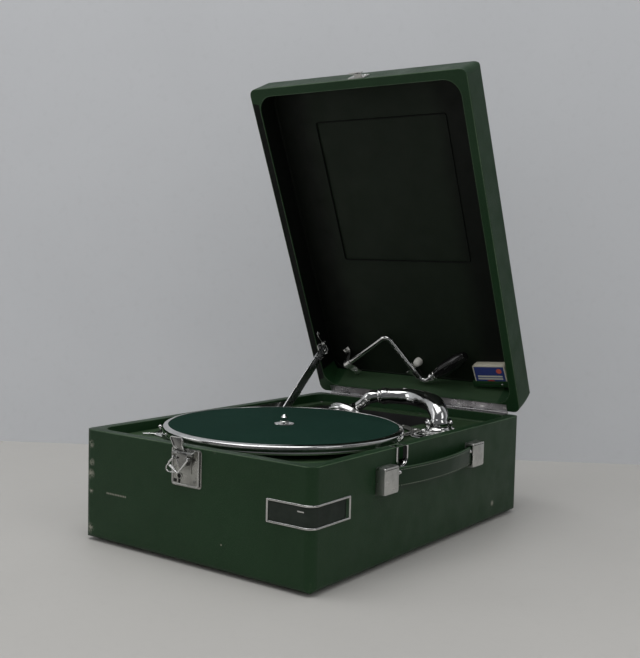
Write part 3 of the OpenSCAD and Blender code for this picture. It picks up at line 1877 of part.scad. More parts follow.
case_body();
bottom_board();
feet();
corner_bezel();
slot_escutcheon();
latch_plate();
latch_hook();
latch_lever();
latch_bail();
handle_clips();
handle_strap();
hinge_case_leaf();
hinge_pin();
hinge_lid_leaf();
deck();
horn();
tonearm_base();
motor_top_plate();
motor_bottom_plate();
motor_pillars();
motor_bushes();
winding_bearing();
governor_bearings();
stay_slot_plate();
brake_post();
lid_shell();
lid_lining();
lid_catch();
crank_bracket();
crank_clip();
rubber_buffer();
tin_pocket();
stay_bracket();
needle_tin();
stay_arm();
winding_handle();
handle_grip();
platter();
platter_felt();
turntable_spindle();
worm_wheel();
intermediate_wheel();
spring_barrel();
mainspring();
winding_arbor();
winding_shaft();
governor_shaft();
governor_weights();
governor_disc();
arm_turret();
tone_arm();
gooseneck();
soundbox();
diaphragm();
stylus_bar();
needle();
speed_lever();
brake_lever();
needle_tray();
tray_pin();
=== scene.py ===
"""Looks of a portable wind-up gramophone, dressed over its CAD frame.

Lengths are in metres, +Z up, the latch faces -Y, the hinge is at +Y and the carrying handle at +X.
The lid stands open at rest; pieces of the lid are drawn as if it were shut and then turned open.
"""
import math

import bmesh
import bpy
from mathutils import Matrix, Vector


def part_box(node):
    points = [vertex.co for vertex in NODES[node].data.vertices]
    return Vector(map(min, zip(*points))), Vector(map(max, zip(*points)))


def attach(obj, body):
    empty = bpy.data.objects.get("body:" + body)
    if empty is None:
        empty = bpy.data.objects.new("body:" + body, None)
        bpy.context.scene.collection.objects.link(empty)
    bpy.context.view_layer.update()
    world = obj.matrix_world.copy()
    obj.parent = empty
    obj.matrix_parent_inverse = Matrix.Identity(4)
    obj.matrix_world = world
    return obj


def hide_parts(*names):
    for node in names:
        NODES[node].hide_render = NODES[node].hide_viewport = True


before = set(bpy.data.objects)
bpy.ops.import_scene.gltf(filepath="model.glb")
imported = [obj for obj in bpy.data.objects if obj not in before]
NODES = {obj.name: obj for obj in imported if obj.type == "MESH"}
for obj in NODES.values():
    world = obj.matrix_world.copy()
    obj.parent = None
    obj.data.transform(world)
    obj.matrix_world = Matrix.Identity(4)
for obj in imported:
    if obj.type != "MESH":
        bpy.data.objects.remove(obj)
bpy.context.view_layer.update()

MM = 0.001


def box_mm(node):
    """Lowest and highest corner of a CAD node at rest, in millimetres."""
    return [[round(v / MM, 2) for v in corner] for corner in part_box(node)]


def middle_mm(node):
    return [(low + high) / 2 for low, high in zip(*box_mm(node))]


# Sizes taken from the CAD nodes, in millimetres; the case is centred on the Z axis
CASE_X, CASE_Y, RIM = box_mm("case_body")[1]
DECK = box_mm("deck")[1][2]
HINGE_Y, HINGE_Z = middle_mm("hinge_pin")[1:]
SPINDLE_X, SPINDLE_Y = middle_mm("turntable_spindle")[:2]

# The shut lid: its rim, its ceiling inside, and how far it stands open at rest
LID_RIM = 115.3
CEILING = 144.3
LID_OPEN = math.radians(66.6)

UP = (0, 0, 1)
DOWN = (0, 0, -1)
TO_RIGHT = (1, 0, 0)
TO_FRONT = (0, -1, 0)


# Camera and studio

def photo_camera():
    """A pinhole camera at the photograph's place, 640 by 658 pixels."""
    yaw, pitch, roll = -0.6291, 0.069, 0.0237
    focal_px, frame_px, sensor = 1013.7, 658, 36.0
    ahead = Vector((math.sin(yaw) * math.cos(pitch), math.cos(yaw) * math.cos(pitch), -math.sin(pitch)))
    level = ahead.cross(Vector(UP)).normalized()
    upright = level.cross(ahead)
    right = level * math.cos(roll) + upright * math.sin(roll)
    up = upright * math.cos(roll) - level * math.sin(roll)
    data = bpy.data.cameras.new("photo_camera")
    data.sensor_fit = "AUTO"
    data.sensor_width = sensor
    data.lens = focal_px * sensor / frame_px
    data.clip_start = 0.02
    data.clip_end = 60
    camera = bpy.data.objects.new("photo_camera", data)
    turn = Matrix((right, up, -ahead)).transposed()
    camera.matrix_world = Matrix.Translation((0.65358, -0.89799, 0.29420)) @ turn.to_4x4()
    bpy.context.scene.collection.objects.link(camera)
    bpy.context.scene.camera = camera


def soft_box(name, place, aim, width, height, watts):
    """Rectangular lamp in metres, its face towards a point."""
    data = bpy.data.lights.new(name, "AREA")
    data.shape = "RECTANGLE"
    data.size = width
    data.size_y = height
    data.energy = watts
    lamp = bpy.data.objects.new(name, data)
    away = Vector(place) - Vector(aim)
    lamp.matrix_world = Matrix.Translation(place) @ away.to_track_quat("Z", "Y").to_matrix().to_4x4()
    bpy.context.scene.collection.objects.link(lamp)


# Building blocks for shader trees

class Finish:
    """A material with its Principled shader, and short ways to add nodes to it."""

    def __init__(self, name):
        self.material = bpy.data.materials.new(name)
        self.material.use_nodes = True
        self.tree = self.material.node_tree
        self.shader = self.tree.nodes["Principled BSDF"]
        self.place = self.tree.nodes.new("ShaderNodeTexCoord").outputs["Object"]

    def put(self, name, value):
        """Gives one of the shader's own inputs a value or a link."""
        self.feed(self.shader.inputs[name], value)

    def feed(self, socket, value):
        """Links a socket to another, or sets its value; three numbers make a colour."""
        if isinstance(value, bpy.types.NodeSocket):
            self.tree.links.new(value, socket)
        elif hasattr(value, "__len__") and len(value) == 3 and socket.type == "RGBA":
            socket.default_value = (*value, 1)
        else:
            socket.default_value = value

    def math(self, operation, a, b=0.0, clamp=False):
        n = self.tree.nodes.new("ShaderNodeMath")
        n.operation = operation
        n.use_clamp = clamp
        self.feed(n.inputs[0], a)
        self.feed(n.inputs[1], b)
        return n.outputs[0]

    def times(self, a, b):
        return self.math("MULTIPLY", a, b)

    def plus(self, a, b):
        return self.math("ADD", a, b)

    def less(self, a, b):
        return self.math("SUBTRACT", a, b)

    def most(self, a, b):
        return self.math("MAXIMUM", a, b)

    def above(self, a, b):
        return self.math("GREATER_THAN", a, b)

    def below(self, a, b):
        return self.math("LESS_THAN", a, b)

    def vector(self, operation, a, b=(0, 0, 0)):
        n = self.tree.nodes.new("ShaderNodeVectorMath")
        n.operation = operation
        self.feed(n.inputs[0], a)
        self.feed(n.inputs[1], b)
        return n.outputs["Value" if operation == "DISTANCE" else "Vector"]

    def axis(self, letter, source=None):
        """One coordinate of a vector, or of the place on the piece."""
        n = self.tree.nodes.new("ShaderNodeSeparateXYZ")
        self.feed(n.inputs[0], source or self.place)
        return n.outputs[letter]

    def noise(self, scale, detail=4.0, rough=0.55, stretch=None):
        """Noise of features about 1/scale metres across; stretch scales the axes first."""
        where = self.vector("MULTIPLY", self.place, stretch) if stretch else self.place
        n = self.tree.nodes.new("ShaderNodeTexNoise")
        self.feed(n.inputs["Vector"], where)
        n.inputs["Scale"].default_value = scale
        n.inputs["Detail"].default_value = detail
        n.inputs["Roughness"].default_value = rough
        return n.outputs["Fac"]

    def cells(self, scale):
        """Distance to the nearest of the points strewn about 1/scale metres apart."""
        n = self.tree.nodes.new("ShaderNodeTexVoronoi")
        self.feed(n.inputs["Vector"], self.place)
        n.inputs["Scale"].default_value = scale
        return n.outputs["Distance"]

    def ramp(self, value, stops):
        """Grey or coloured ramp through (position, value) stops."""
        n = self.tree.nodes.new("ShaderNodeValToRGB")
        self.feed(n.inputs[0], value)
        bar = n.color_ramp.elements
        while len(bar) < len(stops):
            bar.new(0.5)
        for slot, (at, tone) in zip(bar, stops):
            slot.position = at
            slot.color = (*tone, 1) if hasattr(tone, "__len__") else (tone, tone, tone, 1)
        return n.outputs["Color"]

    def rise(self, value, low, high):
        """0 below low, 1 above high."""
        return self.ramp(value, [(low, 0.0), (high, 1.0)])

    def mix(self, factor, a, b):
        """Colour a where the factor is 0, b where it is 1."""
        n = self.tree.nodes.new("ShaderNodeMix")
        n.data_type = "RGBA"
        self.feed(n.inputs[0], factor)
        self.feed(n.inputs[6], a)
        self.feed(n.inputs[7], b)
        return n.outputs[2]

    def bump(self, height, depth, under=None, strength=1.0):
        """Normal from a height and its depth in metres, over another normal."""
        n = self.tree.nodes.new("ShaderNodeBump")
        n.inputs["Strength"].default_value = strength
        n.inputs["Distance"].default_value = depth
        self.feed(n.inputs["Height"], height)
        if under is not None:
            self.feed(n.inputs["Normal"], under)
        return n.outputs["Normal"]

    def spot(self, centre, radius, soft=0.5):
        """1 within a ball round a point, fading to 0."""
        gap = self.vector("DISTANCE", self.place, centre)
        return self.math("DIVIDE", self.less(radius, gap), radius * soft, clamp=True)


def leathercloth(name, base, dark, light, scuffs=(), gloss=0.42, side_shade=None):
    """Grained bookbinder's cloth: a close pebble grain, rubbed lighter on the raised parts, with scuffs.

    side_shade is (near, far, left): painted shade, the tone falling to a share left of it between two
    distances from the middle.
    """
    f = Finish(name)
    pebble = f.cells(1150)
    fine = f.noise(2600, 3)
    broad = f.noise(14, 3)
    grain = f.plus(f.times(pebble, 0.8), f.times(fine, 0.35))
    tone = f.mix(f.rise(broad, 0.3, 0.75), dark, base)
    tone = f.mix(f.times(f.ramp(pebble, [(0.15, 1.0), (0.5, 0.0)]), 0.35), tone, light)
    worn = f.plus(f.times(f.noise(520, 4, 0.75), 0.75), f.times(f.noise(110, 3), 0.25))
    mark = None
    for centre, radius, keep in scuffs:
        near = f.times(f.spot(centre, radius, 1.0), f.rise(worn, keep, keep + 0.08))
        mark = near if mark is None else f.most(mark, near)
    if mark is not None:
        tone = f.mix(mark, tone, (0.30, 0.29, 0.24))
    # Painted shade: the tone darkens away from the middle, towards the sides
    if side_shade:
        near, far, left = side_shade
        out = f.plus(f.math("ABSOLUTE", f.axis("X")), f.times(f.noise(30, 3), 0.02))
        shut = f.math("DIVIDE", f.less(out, near), far - near, clamp=True)
        tone = f.mix(f.times(shut, 1 - left), tone, (0.0, 0.0, 0.0))
    f.put("Base Color", tone)
    f.put("Roughness", f.ramp(f.noise(40, 4), [(0.3, gloss - 0.06), (0.7, gloss + 0.1)]))
    f.put("Specular IOR Level", 0.22)
    f.put("Normal", f.bump(grain, 0.00022, strength=0.55))
    return f.material


def plating(name, tint=(0.80, 0.80, 0.79), rough=0.09, tarnish=0.7):
    """Bright plating with faint polishing marks, haze and a few pits."""
    f = Finish(name)
    haze = f.noise(60, 5, 0.65)
    lines = f.noise(900, 2, stretch=(1, 1, 0.06))
    f.put("Metallic", 1.0)
    tone = f.mix(f.rise(haze, 0.45, 0.8), tint, tuple(c * 0.72 for c in tint))
    spots = f.times(f.rise(f.noise(420, 5, 0.72), 0.60, 0.68), tarnish)
    f.put("Base Color", f.mix(spots, tone, tuple(c * 0.22 for c in tint)))
    f.put("Roughness", f.ramp(haze, [(0.35, rough * 0.7), (0.75, rough * 2.2)]))
    height = f.plus(f.times(lines, 0.3), f.times(f.noise(45, 2), 1.4))
    normal = f.bump(height, 0.00006, strength=0.5)
    normal = f.bump(f.rise(f.cells(420), 0.04, 0.09), 0.00004, normal, 0.4)
    f.put("Normal", normal)
    return f.material


def worked_metal(name, tint, rough):
    """Drawn or turned metal with fine tool marks and a little tarnish."""
    f = Finish(name)
    marks = f.noise(700, 3, stretch=(1, 1, 0.05))
    stain = f.noise(38, 5, 0.7)
    f.put("Metallic", 1.0)
    f.put("Base Color", f.mix(f.rise(stain, 0.4, 0.75), tint, tuple(c * 0.55 for c in tint)))
    f.put("Roughness", f.ramp(marks, [(0.3, rough * 0.8), (0.7, rough * 1.35)]))
    f.put("Normal", f.bump(marks, 0.00003, strength=0.5))
    return f.material


def green_felt():
    """Short dense pile, laid unevenly, with a few pale specks of lint."""
    f = Finish("green_felt")
    pile = f.noise(3800, 5, 0.75)
    tufts = f.noise(520, 4, 0.7)
    worn = f.noise(22, 4, 0.6)
    tone = f.mix(f.rise(tufts, 0.3, 0.72), (0.0036, 0.0175, 0.0115), (0.0070, 0.0290, 0.0205))
    tone = f.mix(f.times(f.rise(worn, 0.45, 0.8), 0.3), tone, (0.012, 0.040, 0.030))
    lint = f.times(f.below(f.cells(150), 0.055), f.above(f.noise(60, 3), 0.56))
    tone = f.mix(f.times(lint, 0.7), tone, (0.16, 0.19, 0.17))
    f.put("Base Color", tone)
    f.put("Roughness", 0.95)
    f.put("Specular IOR Level", 0.04)
    f.put("Sheen Weight", 0.03)
    f.put("Sheen Roughness", 0.45)
    f.put("Sheen Tint", (0.45, 0.75, 0.62))
    f.put("Normal", f.bump(f.plus(pile, f.times(tufts, 1.2)), 0.0003, strength=0.7))
    return f.material


def plain_wood():
    """Long grained board with dark pores."""
    f = Finish("plain_wood")
    rings = f.noise(26, 5, 0.6, stretch=(1, 0.08, 1))
    pores = f.noise(420, 3, stretch=(1, 0.05, 1))
    tone = f.mix(f.rise(rings, 0.35, 0.65), (0.13, 0.07, 0.03), (0.24, 0.14, 0.065))
    f.put("Base Color", f.mix(f.times(f.rise(pores, 0.5, 0.7), 0.5), tone, (0.06, 0.03, 0.015)))
    f.put("Roughness", 0.7)
    f.put("Normal", f.bump(pores, 0.00012, strength=0.4))
    return f.material


def dull(name, tone, rough=0.6, grain=900, depth=0.00005):
    """Rubber, enamel or moulded stock: a tone that varies a little, with a fine skin."""
    f = Finish(name)
    cloud = f.noise(30, 4)
    f.put("Base Color", f.mix(f.rise(cloud, 0.3, 0.75), tone, tuple(c * 1.5 + 0.004 for c in tone)))
    f.put("Roughness", f.ramp(f.noise(80, 4), [(0.3, rough * 0.85), (0.7, min(1.0, rough * 1.2))]))
    f.put("Normal", f.bump(f.noise(grain, 3), depth, strength=0.4))
    return f.material


GREEN = (0.0098, 0.0360, 0.0120)
GREEN_DARK = (0.0080, 0.0300, 0.0096)
GREEN_LIGHT = (0.024, 0.064, 0.027)

# Scuffs: place and radius in metres, and how far up the wear noise begins to show
CASE_MARKS = [
    ((0.146, 0.1402, 0.0217), 0.004, 0.35), ((0.146, -0.203, 0.006), 0.009, 0.58),
    ((-0.143, -0.204, 0.010), 0.008, 0.58), ((0.03, -0.205, 0.114), 0.005, 0.55),
    ((0.146, -0.12, 0.1145), 0.005, 0.55), ((0.146, 0.203, 0.012), 0.008, 0.58),
    ((-0.1365, -0.205, 0.1004), 0.0052, 0.44), ((-0.1350, -0.205, 0.0816), 0.0046, 0.46),
    ((-0.1365, -0.205, 0.0690), 0.0064, 0.44), ((-0.1355, -0.205, 0.0517), 0.0036, 0.46),
    ((-0.1370, -0.205, 0.0130), 0.0064, 0.46), ((0.0421, -0.205, 0.0285), 0.0012, 0.2)]
CASE_MARKS += [((-0.1120 + 0.0024 * step, -0.205, 0.0530), 0.0014, 0.36) for step in range(12)]
LID_MARKS = [
    ((0.1387, 0.0904, 0.4427), 0.0022, 0.2), ((0.1397, 0.0804, 0.4197), 0.0018, 0.2),
    ((-0.1453, 0.0707, 0.4354), 0.004, 0.3), ((-0.1387, 0.1093, 0.3440), 0.0022, 0.3)]

cloth_case = leathercloth("leathercloth_case", GREEN, GREEN_DARK, GREEN_LIGHT, CASE_MARKS)
cloth_lid = leathercloth("leathercloth_lid", GREEN, GREEN_DARK, GREEN_LIGHT, LID_MARKS)
# Lighter cloth on edges: painted highlight, with some wear
cloth_edge_highlight = leathercloth("leathercloth_edge_highlight_and_wear", (0.085, 0.135, 0.078), (0.030, 0.062, 0.030),
                          (0.22, 0.28, 0.20))
# The deck's cloth is the case's green made lighter: painted light
cloth_deck_painted_light = leathercloth("leathercloth_deck_painted_light", (0.036, 0.070, 0.032), (0.029, 0.058, 0.025),
                          (0.062, 0.108, 0.056), gloss=0.5)
# The lid's back wall is the case's green made lighter: painted light
cloth_back_painted_light = leathercloth("leathercloth_lid_back_painted_light", (0.028, 0.058, 0.026), (0.021, 0.046, 0.020),
                          (0.05, 0.09, 0.045), gloss=0.5)
# The lid's dark lining, with painted shade towards its sides
cloth_lining = leathercloth("lining_cloth", (0.0075, 0.0140, 0.0068), (0.0058, 0.0112, 0.0052),
                            (0.013, 0.021, 0.012), gloss=0.6, side_shade=(0.088, 0.112, 0.32))
cloth_strap = leathercloth("strap_leathercloth", (0.0085, 0.0265, 0.0105), (0.0065, 0.0210, 0.0080),
                           (0.022, 0.050, 0.025), gloss=0.36)
# Near-black cloth: the panel's edging, the rim strip, and painted shade on the lid's walls
cloth_edging_and_shade = leathercloth("edging_cloth_and_painted_shade", (0.0016, 0.0030, 0.0016), (0.0012, 0.0024, 0.0012),
                            (0.003, 0.005, 0.003), gloss=0.7)
chrome = plating("bright_chrome")
chrome_dull = plating("worn_chrome", (0.62, 0.62, 0.60), 0.16)
strap_chrome = plating("crank_strap_chrome", (0.92, 0.92, 0.90), 0.27, tarnish=0.2)
nickel = plating("dull_nickel", (0.40, 0.40, 0.375), 0.24)
clip_nickel = plating("clip_nickel", (0.60, 0.60, 0.58), 0.3, tarnish=0.25)
dark_nickel = plating("dark_nickel", (0.27, 0.27, 0.26), 0.2)
blade_steel = plating("blade_steel", (0.42, 0.43, 0.44), 0.22, tarnish=0.3)
hinge_steel = plating("hinge_steel", (0.42, 0.41, 0.415), 0.24, tarnish=0.5)
steel = worked_metal("plain_steel", (0.45, 0.45, 0.44), 0.3)
blued = worked_metal("blued_spring", (0.10, 0.12, 0.17), 0.28)
brass = worked_metal("turned_brass", (0.55, 0.38, 0.14), 0.25)
# Black enamel, also used as painted shade in a slot and a slit
enamel = dull("black_enamel_and_painted_shade", (0.012, 0.012, 0.012), 0.45)
ebonite = dull("polished_ebonite", (0.004, 0.004, 0.004), 0.07, 60, 0.00003)
rubber = dull("black_rubber", (0.018, 0.018, 0.018), 0.8)
white_rubber = dull("white_rubber", (0.55, 0.54, 0.50), 0.7)
felt = green_felt()
felt_dark = dull("tray_baize", (0.010, 0.016, 0.011), 0.95, 2400, 0.0002)
thread = dull("waxed_thread", (0.17, 0.21, 0.15), 0.6, 2500)
# Near-black: painted shade in holes, slots, gaps and creases
shade = dull("painted_shade", (0.004, 0.005, 0.004), 0.8)
wood = plain_wood()
foil = plating("spun_diaphragm", (0.72, 0.72, 0.70), 0.25)
tin_paint = dull("tin_enamel", (0.03, 0.05, 0.14), 0.3)

FINISHED_NODES = (
    (cloth_case, ["case_body", "handle_strap"]),
    (wood, ["bottom_board"]),
    (rubber, ["feet", "motor_bushes"]),
    (chrome, ["corner_bezel", "slot_escutcheon", "latch_hook", "latch_lever", "latch_bail", "handle_clips",
              "tonearm_base", "brake_post", "lid_catch", "crank_bracket", "crank_clip", "stay_bracket",
              "stay_arm", "winding_handle", "platter", "turntable_spindle", "arm_turret", "tone_arm",
              "gooseneck", "soundbox", "stylus_bar", "speed_lever", "brake_lever"]),
    (chrome_dull, ["latch_plate"]),
    (hinge_steel, ["hinge_case_leaf", "hinge_lid_leaf"]),
    (steel, ["hinge_pin", "motor_top_plate", "motor_bottom_plate", "winding_bearing", "governor_bearings",
             "stay_slot_plate", "winding_arbor", "winding_shaft", "governor_shaft", "governor_disc",
             "needle", "tray_pin"]),
    (cloth_deck_painted_light, ["deck", "tin_pocket"]),
    (enamel, ["horn"]),
    (brass, ["motor_pillars", "worm_wheel", "intermediate_wheel", "spring_barrel", "governor_weights"]),
    (cloth_lid, ["lid_shell"]),
    (cloth_lining, ["lid_lining"]),
    (white_rubber, ["rubber_buffer"]),
    (tin_paint, ["needle_tin"]),
    (ebonite, ["handle_grip"]),
    (felt, ["platter_felt"]),
    (blued, ["mainspring"]),
    (foil, ["diaphragm"]),
    (felt_dark, ["needle_tray"]))


def dress(obj, material):
    if obj.material_slots:
        for s in obj.material_slots:
            s.material = material
    else:
        obj.data.materials.append(material)


for material, names in FINISHED_NODES:
    for name in names:
        dress(NODES[name], material)


# Ways to shape a piece

def mm(*v):
    """Vector given in millimetres."""
    return Vector(v) * MM


def shift(x, y, z):
    """Move by millimetres."""
    return Matrix.Translation(mm(x, y, z))


SPINDLE = shift(SPINDLE_X, SPINDLE_Y, 0)
LID_TURN = shift(0, HINGE_Y, HINGE_Z) @ Matrix.Rotation(-LID_OPEN, 4, "X") @ shift(0, -HINGE_Y, -HINGE_Z)
ON_FRONT = Matrix(((1, 0, 0), (0, 0, -1), (0, 1, 0))).to_4x4()
ON_RIGHT = Matrix(((0, 0, 1), (1, 0, 0), (0, 1, 0))).to_4x4()
UPSIDE_DOWN = Matrix.Rotation(math.pi, 4, "X")
TURNED_OVER = Matrix.Rotation(math.pi, 4, "Y")


def facing(place, axis, turn=0.0):
    """Frame at a point with its Z along an axis."""
    look = Vector(axis).normalized().to_track_quat("Z", "Y").to_matrix().to_4x4()
    return Matrix.Translation(place) @ look @ Matrix.Rotation(turn, 4, "Z")


def moved(bm, matrix):
    bmesh.ops.transform(bm, matrix=matrix, verts=bm.verts)
    return bm


def placed(bm, x, y, z):
    return moved(bm, shift(x, y, z))


def aimed(bm, place, axis):
    """Puts what stands on XY at a place in millimetres, along an axis."""
    return moved(bm, facing(mm(*place), axis))


def on_front(bm, y):
    """Stands a plate of (x, z) on the front, its face towards -Y."""
    return moved(bm, shift(0, y, 0) @ ON_FRONT)


def on_right(bm, x):
    """Stands a plate of (y, z) on the right side, its face towards +X."""
    return moved(bm, shift(x, 0, 0) @ ON_RIGHT)


def joined(parts):
    """One bmesh of several, which are freed."""
    whole = bmesh.new()
    for part in parts:
        mesh = bpy.data.meshes.new("part")
        part.to_mesh(mesh)
        part.free()
        whole.from_mesh(mesh)
        bpy.data.meshes.remove(mesh)
    return whole


def piece(name, bm, material, body, stands_for=(), crease=38):
    """Makes the object, smooth but for its creases, and puts it on its body."""
    bmesh.ops.recalc_face_normals(bm, faces=bm.faces)
    mesh = bpy.data.meshes.new(name)
    bm.to_mesh(mesh)
    bm.free()
    mesh.shade_smooth()
    mesh.set_sharp_from_angle(angle=math.radians(crease))
    obj = bpy.data.objects.new(name, mesh)
    bpy.context.scene.collection.objects.link(obj)
    dress(obj, material)
    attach(obj, body)
    if stands_for:
        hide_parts(*stands_for)
    return obj


def turned(profile, steps=64, ring=False):
    """Spins a half outline of (radius, height) in millimetres about Z; ring closes the outline."""
    bm = bmesh.new()
    verts = [bm.verts.new(mm(r, 0, h)) for r, h in profile]
    edges = [bm.edges.new(pair) for pair in zip(verts, verts[1:] + verts[:1] * ring)]
    bmesh.ops.spin(bm, geom=verts + edges, axis=(0, 0, 1), angle=2 * math.pi, steps=steps, use_merge=True)
    bmesh.ops.remove_doubles(bm, verts=bm.verts, dist=1e-7)
    return bm


def smooth_path(points, per):
    """Points on a smooth curve through the given ones, whatever their number of coordinates."""
    last = len(points) - 1
    line = []
    for i in range(last):
        a, b = points[max(i - 1, 0)], points[i]
        c, d = points[i + 1], points[min(i + 2, last)]
        for k in range(per):
            f = k / per
            line.append([(2 * q + (r - p) * f + (2 * p - 5 * q + 4 * r - s) * f * f
                          + (3 * q - p - 3 * r + s) * f ** 3) / 2 for p, q, r, s in zip(a, b, c, d)])
    line.append(list(points[-1]))
    return line


def rounded_path(points, bend, steps=8):
    """Path in metres with the same round bend, a radius in millimetres, at every inner corner."""
    bend *= MM
    line = [Vector(points[0])]
    for before, corner, after in zip(points, points[1:], points[2:]):
        corner = Vector(corner)
        back, on = (Vector(before) - corner).normalized(), (Vector(after) - corner).normalized()
        half = back.angle(on) / 2
        centre = corner + (back + on).normalized() * bend / math.sin(half)
        start = corner + back * bend / math.tan(half) - centre
        end = corner + on * bend / math.tan(half) - centre
        line += [centre + start.slerp(end, k / steps) * bend for k in range(steps + 1)]
    line.append(Vector(points[-1]))
    return line


def rounded_loop(line, bend, steps=6):
    """Closed path in metres with round corners, a radius in millimetres."""
    count = len(line)
    out = []
    for i, corner in enumerate(line):
        out += rounded_path([line[i - 1], corner, line[(i + 1) % count]], bend, steps)[1:-1]
    return out


def swept(line, section, radii=None, closed=False, upright=UP):
    """Carries a flat section along a path, both in metres. radii scales it at each point."""
    line = [Vector(p[:3]) for p in line]
    count = len(line)
    frames = []
    side = None
    for i, p in enumerate(line):
        a = line[(i - 1) % count] if closed or i else p
        b = line[(i + 1) % count] if closed or i < count - 1 else p
        ahead = (b - a).normalized()
        if side is None:
            side = Vector(upright).cross(ahead)
            side = side.normalized() if side.length > 1e-4 else Vector(TO_RIGHT)
        side = (side - ahead * side.dot(ahead)).normalized()
        size = radii[i] if radii else 1.0
        turn = Matrix((side, ahead.cross(side), ahead)).transposed().to_4x4()
        frames.append(Matrix.Translation(p) @ turn @ Matrix.Diagonal((size, size, size, 1)))
    bm = bmesh.new()
    verts = [bm.verts.new(frames[0] @ Vector((x, y, 0))) for x, y in section]
    edges = [bm.edges.new(pair) for pair in zip(verts, verts[1:] + verts[:1])]
    first, now = edges, edges
    for before, after in zip(frames, frames[1:]):
        out = bmesh.ops.extrude_edge_only(bm, edges=now)["geom"]
        fresh = [g for g in out if isinstance(g, bmesh.types.BMVert)]
        now = [g for g in out if isinstance(g, bmesh.types.BMEdge) and all(v in fresh for v in g.verts)]
        bmesh.ops.transform(bm, matrix=after @ before.inverted(), verts=fresh)
    if closed:
        bmesh.ops.bridge_loops(bm, edges=first + now)
    else:
        bmesh.ops.edgeloop_fill(bm, edges=first)
        bmesh.ops.edgeloop_fill(bm, edges=now)
    return bm


def ring_section(radius, sides=16):
    """Round section of a radius in millimetres."""
    return [(radius * MM * math.cos(2 * math.pi * k / sides),
             radius * MM * math.sin(2 * math.pi * k / sides)) for k in range(sides)]


def flat_section(half_wide, half_thick):
    """Four-sided section, half its width and thickness in millimetres."""
    return [(x * MM, y * MM) for x, y in corners(-half_wide, -half_thick, half_wide, half_thick)]


def rod(points, radius, bend=0.0, sides=16, steps=8):
    """Round wire through points in millimetres."""
    line = [mm(*p) for p in points]
    if bend:
        line = rounded_path(line, bend, steps)
    return swept(line, ring_section(radius, sides))


def edging(x0, y0, x1, y1, z, bend, radius, steps=8, sides=8):
    """Level round wire about a rectangle in millimetres."""
    loop = rounded_loop([mm(x, y, z) for x, y in corners(x0, y0, x1, y1)], bend, steps)
    return swept(loop, ring_section(radius, sides), closed=True)


def plate(outline, thick, corner=0.0, edge=0.0, steps=5, edge_steps=2):
    """Flat plate on XY in millimetres, its corners and then its upper edges rounded."""
    bm = bmesh.new()
    face = bm.faces.new([bm.verts.new(mm(x, y, 0)) for x, y in outline])
    if corner:
        bmesh.ops.bevel(bm, geom=list(face.verts), offset=corner * MM, offset_type="OFFSET", segments=steps,
                        profile=0.5, affect="VERTICES", material=-1)
    bm.faces.ensure_lookup_table()
    out = bmesh.ops.extrude_face_region(bm, geom=list(bm.faces))["geom"]
    top = [g for g in out if isinstance(g, bmesh.types.BMFace)]
    bmesh.ops.translate(bm, verts=[g for g in out if isinstance(g, bmesh.types.BMVert)],
                        vec=(0, 0, thick * MM))
    if edge:
        rim = [e for f in top for e in f.edges]
        bmesh.ops.bevel(bm, geom=rim, offset=edge * MM, offset_type="OFFSET", segments=edge_steps,
                        profile=0.5, affect="EDGES", material=-1)
    return bm


def corners(x0, y0, x1, y1):
    """Outline of a rectangle between two corners."""
    return [(x0, y0), (x1, y0), (x1, y1), (x0, y1)]


def block(x0, y0, z0, x1, y1, z1, edge=0.4, steps=2):
    """Block between two corners in millimetres, all its edges rounded."""
    bm = bmesh.new()
    bmesh.ops.create_cube(bm, size=1)
    size = mm(x1 - x0, y1 - y0, z1 - z0)
    centre = mm((x0 + x1) / 2, (y0 + y1) / 2, (z0 + z1) / 2)
    moved(bm, Matrix.Translation(centre) @ Matrix.Diagonal((*size, 1)))
    bmesh.ops.bevel(bm, geom=list(bm.edges), offset=edge * MM, offset_type="OFFSET", segments=steps,
                    profile=0.5, affect="EDGES", material=-1)
    return bm


def screw_head(radius, dome=0.9, slot_turn=0.4):
    """Round-headed screw with a cut slot, standing on XY."""
    w, deep = radius * 0.13 * MM, dome * 0.55 * MM
    bm = turned([(0, dome), (radius * 0.35, dome * 0.95), (radius * 0.7, dome * 0.7),
                 (radius * 0.93, dome * 0.3), (radius, 0), (0, 0)], 24)
    for side in (-1, 1):
        geom = list(bm.verts) + list(bm.edges) + list(bm.faces)
        bmesh.ops.bisect_plane(bm, geom=geom, plane_co=(0, side * w, 0), plane_no=(0, 1, 0))
    for v in bm.verts:
        if abs(v.co.y) < w * 0.99 and v.co.z > dome * 0.1 * MM:
            v.co.z = max(v.co.z - deep, 0.05 * MM)
    groove = [f for f in bm.faces if abs(f.calc_center_median().y) < w * 0.9 and f.normal.z > 0.2]
    if groove:
        out = bmesh.ops.extrude_face_region(bm, geom=groove)["geom"]
        bmesh.ops.translate(bm, verts=[g for g in out if isinstance(g, bmesh.types.BMVert)],
                            vec=(0, 0, -deep))
        bmesh.ops.delete(bm, geom=groove, context="FACES_ONLY")
    return moved(bm, Matrix.Rotation(slot_turn, 4, "Z"))


def rivet_head(radius, dome):
    return turned([(0, dome), (radius * 0.4, dome * 0.93), (radius * 0.75, dome * 0.66),
                   (radius * 0.95, dome * 0.3), (radius, 0), (0, 0)], 20)


def ball_knob(stem, neck, ball, middle, first, step, count):
    """Ball of a radius on a stem; neck and middle are heights, the rings' angles run from first by step."""
    angles = [first + step * i for i in range(count)]
    round_part = [(ball * math.sin(a), middle - ball * math.cos(a)) for a in angles]
    return turned([(stem, 0), (stem, neck)] + round_part + [(0, middle + ball)], 28)


def screws(name, body, places, radius=2.2, dome=0.9, material=chrome_dull, lid=False):
    """Screw heads at (x, y, z, axis) in millimetres, in one piece."""
    heads = []
    for i, (x, y, z, axis) in enumerate(places):
        heads.append(moved(screw_head(radius, dome, 0.7 + 1.3 * i), facing(mm(x, y, z), axis)))
    bm = joined(heads)
    if lid:
        moved(bm, LID_TURN)
    piece(name, bm, material, body, crease=30)


# Turntable

